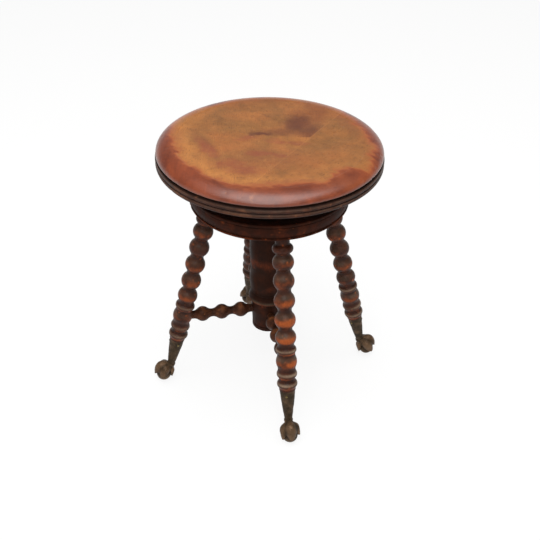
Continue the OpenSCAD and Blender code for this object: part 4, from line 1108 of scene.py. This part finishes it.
turns_round = [360 * s / CLAW_SIDES for s in range(CLAW_SIDES)]
outer, inner = [], []
for i in range(1, CLAW_RINGS + 1):
    for turn in turns_round:
        way, far = skin_ray(i / CLAW_RINGS, turn)
        outer.append(way * far)
        inner.append(way * claw_r)
pole_way, pole_far = skin_ray(0, 0)
claw_points = np.array(outer + inner + [pole_way * pole_far, pole_way * claw_r])
size = CLAW_SIDES * CLAW_RINGS
claw_faces = []
for i in range(CLAW_RINGS - 1):
    for s in range(CLAW_SIDES):
        a, b = i * CLAW_SIDES + s, i * CLAW_SIDES + (s + 1) % CLAW_SIDES
        claw_faces.append((a, a + CLAW_SIDES, b + CLAW_SIDES, b))
        claw_faces.append((size + b, size + b + CLAW_SIDES, size + a + CLAW_SIDES, size + a))
rim_start = size - CLAW_SIDES
for s in range(CLAW_SIDES):
    n = (s + 1) % CLAW_SIDES
    claw_faces.append((rim_start + s, size + rim_start + s, size + rim_start + n, rim_start + n))
    claw_faces += [(2 * size, s, n), (2 * size + 1, size + n, size + s)]
print("claw points:", len(claw_points), "ball %.1f mm out" % ball_at)

# %% Socket, ankle and claw as one casting
# The rim's rounding, what the melt takes off the rim, and how much fuller than a cone the socket is.
COLLAR_ROLL, MELT_LOSS, BULGE = 0.5, 0.9, 0.45
SOCKET_SIDES, ANKLE_SIDES = 96, 72
rim_r = SOCKET_TOP_R - COLLAR_ROLL
socket_outline = [(SOCKET_TOP_R - SOCKET_WALL, -MELT_LOSS), (rim_r, -MELT_LOSS)]
socket_outline += arc((rim_r, COLLAR_ROLL - MELT_LOSS), COLLAR_ROLL, COLLAR_ROLL, -90, 0, 4)
socket_outline += [(socket_r(at) + BULGE * math.sin(math.pi * at / SOCKET_LEN), at)
                   for at in np.linspace(1.0, SOCKET_LEN, 40)]
socket_outline += [(0, SOCKET_LEN), (0, SOCKET_DEPTH)]
socket_outline += [(socket_r(at) - SOCKET_WALL, at) for at in np.linspace(SOCKET_DEPTH, -MELT_LOSS, 30)]

in_plane = Matrix.Translation((LEG_RING_R, 0, crown_z)) @ Matrix.Rotation(math.pi - SPLAY, 4, "Y")
socket_points, socket_faces = spin(socket_outline, SOCKET_SIDES)
socket_points = moved(socket_points, in_plane @ Matrix.Translation((0, 0, socket_at)))
ankle_outline = [(0, -ANKLE_R)] + arc((0, 0), ANKLE_R, ANKLE_R, -86, 86, 40) + [(0, ANKLE_R)]
ankle_points, ankle_faces = sweep(ankle_outline, ANKLE_SIDES)
ball_middle = np.array([ball_at, 0, BALL_R])
points, faces = joined([(socket_points, socket_faces),
                        (ankle_points + ball_middle + ankle_dir * ANKLE_OUT, ankle_faces),
                        (claw_points + ball_middle, claw_faces)])
VOXEL = 0.55
rough = new_piece("foot_rough", points, faces)
melt = rough.modifiers.new("melt", "REMESH")
melt.mode, melt.voxel_size = "VOXEL", VOXEL * MM
soften = rough.modifiers.new("soften", "SMOOTH")
soften.factor, soften.iterations = 0.5, 4
cast_mesh = bpy.data.meshes.new_from_object(rough.evaluated_get(bpy.context.evaluated_depsgraph_get()))
bpy.data.objects.remove(rough)
cast = np.empty(len(cast_mesh.vertices) * 3)
cast_mesh.vertices.foreach_get("co", cast)
cast = cast.reshape(-1, 3) / MM
print("one foot: %d points after the melt" % len(cast))

# %% Marks on the castings
from_ball = cast - ball_middle
far = np.linalg.norm(from_ball, axis=1)
down_leg = moved(cast, in_plane.inverted())
on_socket = (down_leg[:, 2] < ankle_at - 2) & (far > claw_r + 7)
within_wall = from_axis(down_leg) < socket_r(down_leg[:, 2] - socket_at) - 0.7
inside = (far < claw_r + 0.4) | (on_socket & within_wall)
way = from_ball / far[:, None]
turn = np.degrees(np.arctan2(way @ sideways, way @ outward_dir)) % 360
lobe = np.array([talon_lobe(t)[0] for t in turn])
down_claw = np.degrees(np.arccos(np.clip(way @ ankle_dir, -1, 1)))
on_claw = ~on_socket & (far > claw_r + 0.4)
valley = on_claw * np.clip(1 - lobe / 0.35, 0, 1) * np.clip(down_claw / 20, 0, 1)
ridge = on_claw * np.clip(lobe, 0, 1) * np.clip(down_claw / 30, 0, 1)
hammer = 0.16 * wander(cast, 7, 130) + 0.07 * wander(cast, 3, 131)
folds = wander(np.stack([down_leg[:, 2] / 3.2, down_leg[:, 0] / 9, down_leg[:, 1] / 9], 1), 1.3, 132)
hammer = np.where(on_socket, hammer + 0.34 * np.clip(folds, 0, 1), hammer)
normals = np.empty(len(cast) * 3)
cast_mesh.vertices.foreach_get("normal", normals)
cast -= normals.reshape(-1, 3) * (np.abs(hammer) * ~inside)[:, None]
cast_mesh.vertices.foreach_set("co", (cast * MM).ravel())
for k, side in enumerate(LEGS):
    mesh = cast_mesh.copy()
    mesh.shade_smooth()
    foot = bpy.data.objects.new("foot_cast_" + side, mesh)
    scene.collection.objects.link(foot)
    foot.matrix_world = leg_plane(k)
    mesh.materials.append(foot_metal)
    # The tarnish darkens at random, and painted shade darkens the valleys between the talons and the insides
    # of the claw and socket.
    mark(foot, worn=np.where(on_socket, 0.05, 0.2 + 0.5 * ridge) + 0.2 * wander(cast, 7, 140 + k),
         grime=0.2 + 0.2 * wander(cast, 10, 150 + k) + 0.4 * valley + 0.9 * inside)
    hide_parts("foot_" + side)
    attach(foot, "base")
print("feet made")

# %% Balls
BALL_SIDES = 96
ball_outline = [(0, -BALL_R)] + arc((0, 0), BALL_R, BALL_R, -88, 88, 60) + [(0, BALL_R)]
for k, side in enumerate(LEGS):
    points, faces = sweep(ball_outline, BALL_SIDES)
    points *= 1 - 0.004 * (1 + wander(points, 6, 160 + k))[:, None]
    points[:, 2] -= points[:, 2].min() + BALL_R
    ball = new_piece("ball_cast_" + side, points, faces, ball_metal,
                     leg_plane(k) @ Matrix.Translation((ball_at * MM, 0, BALL_R * MM)))
    low = np.clip(-points[:, 2] / BALL_R, -1, 1)
    # Painted shade darkens the ball's upper part, under the claw; its lower part is rubbed paler.
    mark(ball, worn=0.35 + 0.25 * low + 0.2 * wander(points, 8, 170 + k),
         grime=np.clip(0.35 - 1.2 * low, 0, 0.8))
    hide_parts("ball_" + side)
    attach(ball, "base")
print("balls made")

# %% [markdown]
# ### The brads
# Small brads through the socket's rim keep each foot on its leg. Their heads are rubbed bright, which is
# what the eye catches on the dark sockets. Each is a shank with a domed head, set square to the taper.

# %% Brads
BRAD_R, BRAD_HEAD_R, BRAD_HEAD_H, BRAD_LEN, BRAD_DROP, BRADS = 0.9, 2.1, 1.0, 7.0, 9.0, 3
BRAD_TURN, BRAD_POINT, BRAD_BREAK, BRAD_SIDES = 200, 1.0, 0.1, 28
tilt = math.atan((SOCKET_TOP_R - SOCKET_END_R) / SOCKET_LEN)
brad_outline = [(0, -BRAD_LEN), (BRAD_R, BRAD_POINT - BRAD_LEN), (BRAD_R, 0),
                (BRAD_HEAD_R - BRAD_BREAK, 0)]
brad_outline += arc((0, 0), BRAD_HEAD_R, BRAD_HEAD_H, 4, 84, 10) + [(0, BRAD_HEAD_H)]
one_points, one_faces = sweep(brad_outline, BRAD_SIDES)
parts = []
for k in range(len(LEGS)):
    for n in range(BRADS):
        place = leg_plane(k) @ in_plane @ Matrix.Rotation(math.radians(BRAD_TURN + 360 * n / BRADS), 4, "Z")
        place = place @ Matrix.Translation((socket_r(BRAD_DROP), 0, socket_at + BRAD_DROP))
        place = place @ Matrix.Rotation(math.pi / 2 - tilt, 4, "Y")
        parts.append((moved(one_points, place), one_faces))
points, faces = joined(parts)
brads = new_piece("socket_brads", points, faces, brad_metal)
mark(brads, worn=np.full(len(points), 0.6), grime=np.zeros(len(points)))
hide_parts("foot_nails")
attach(brads, "base")
print("brads:", BRADS * len(LEGS))
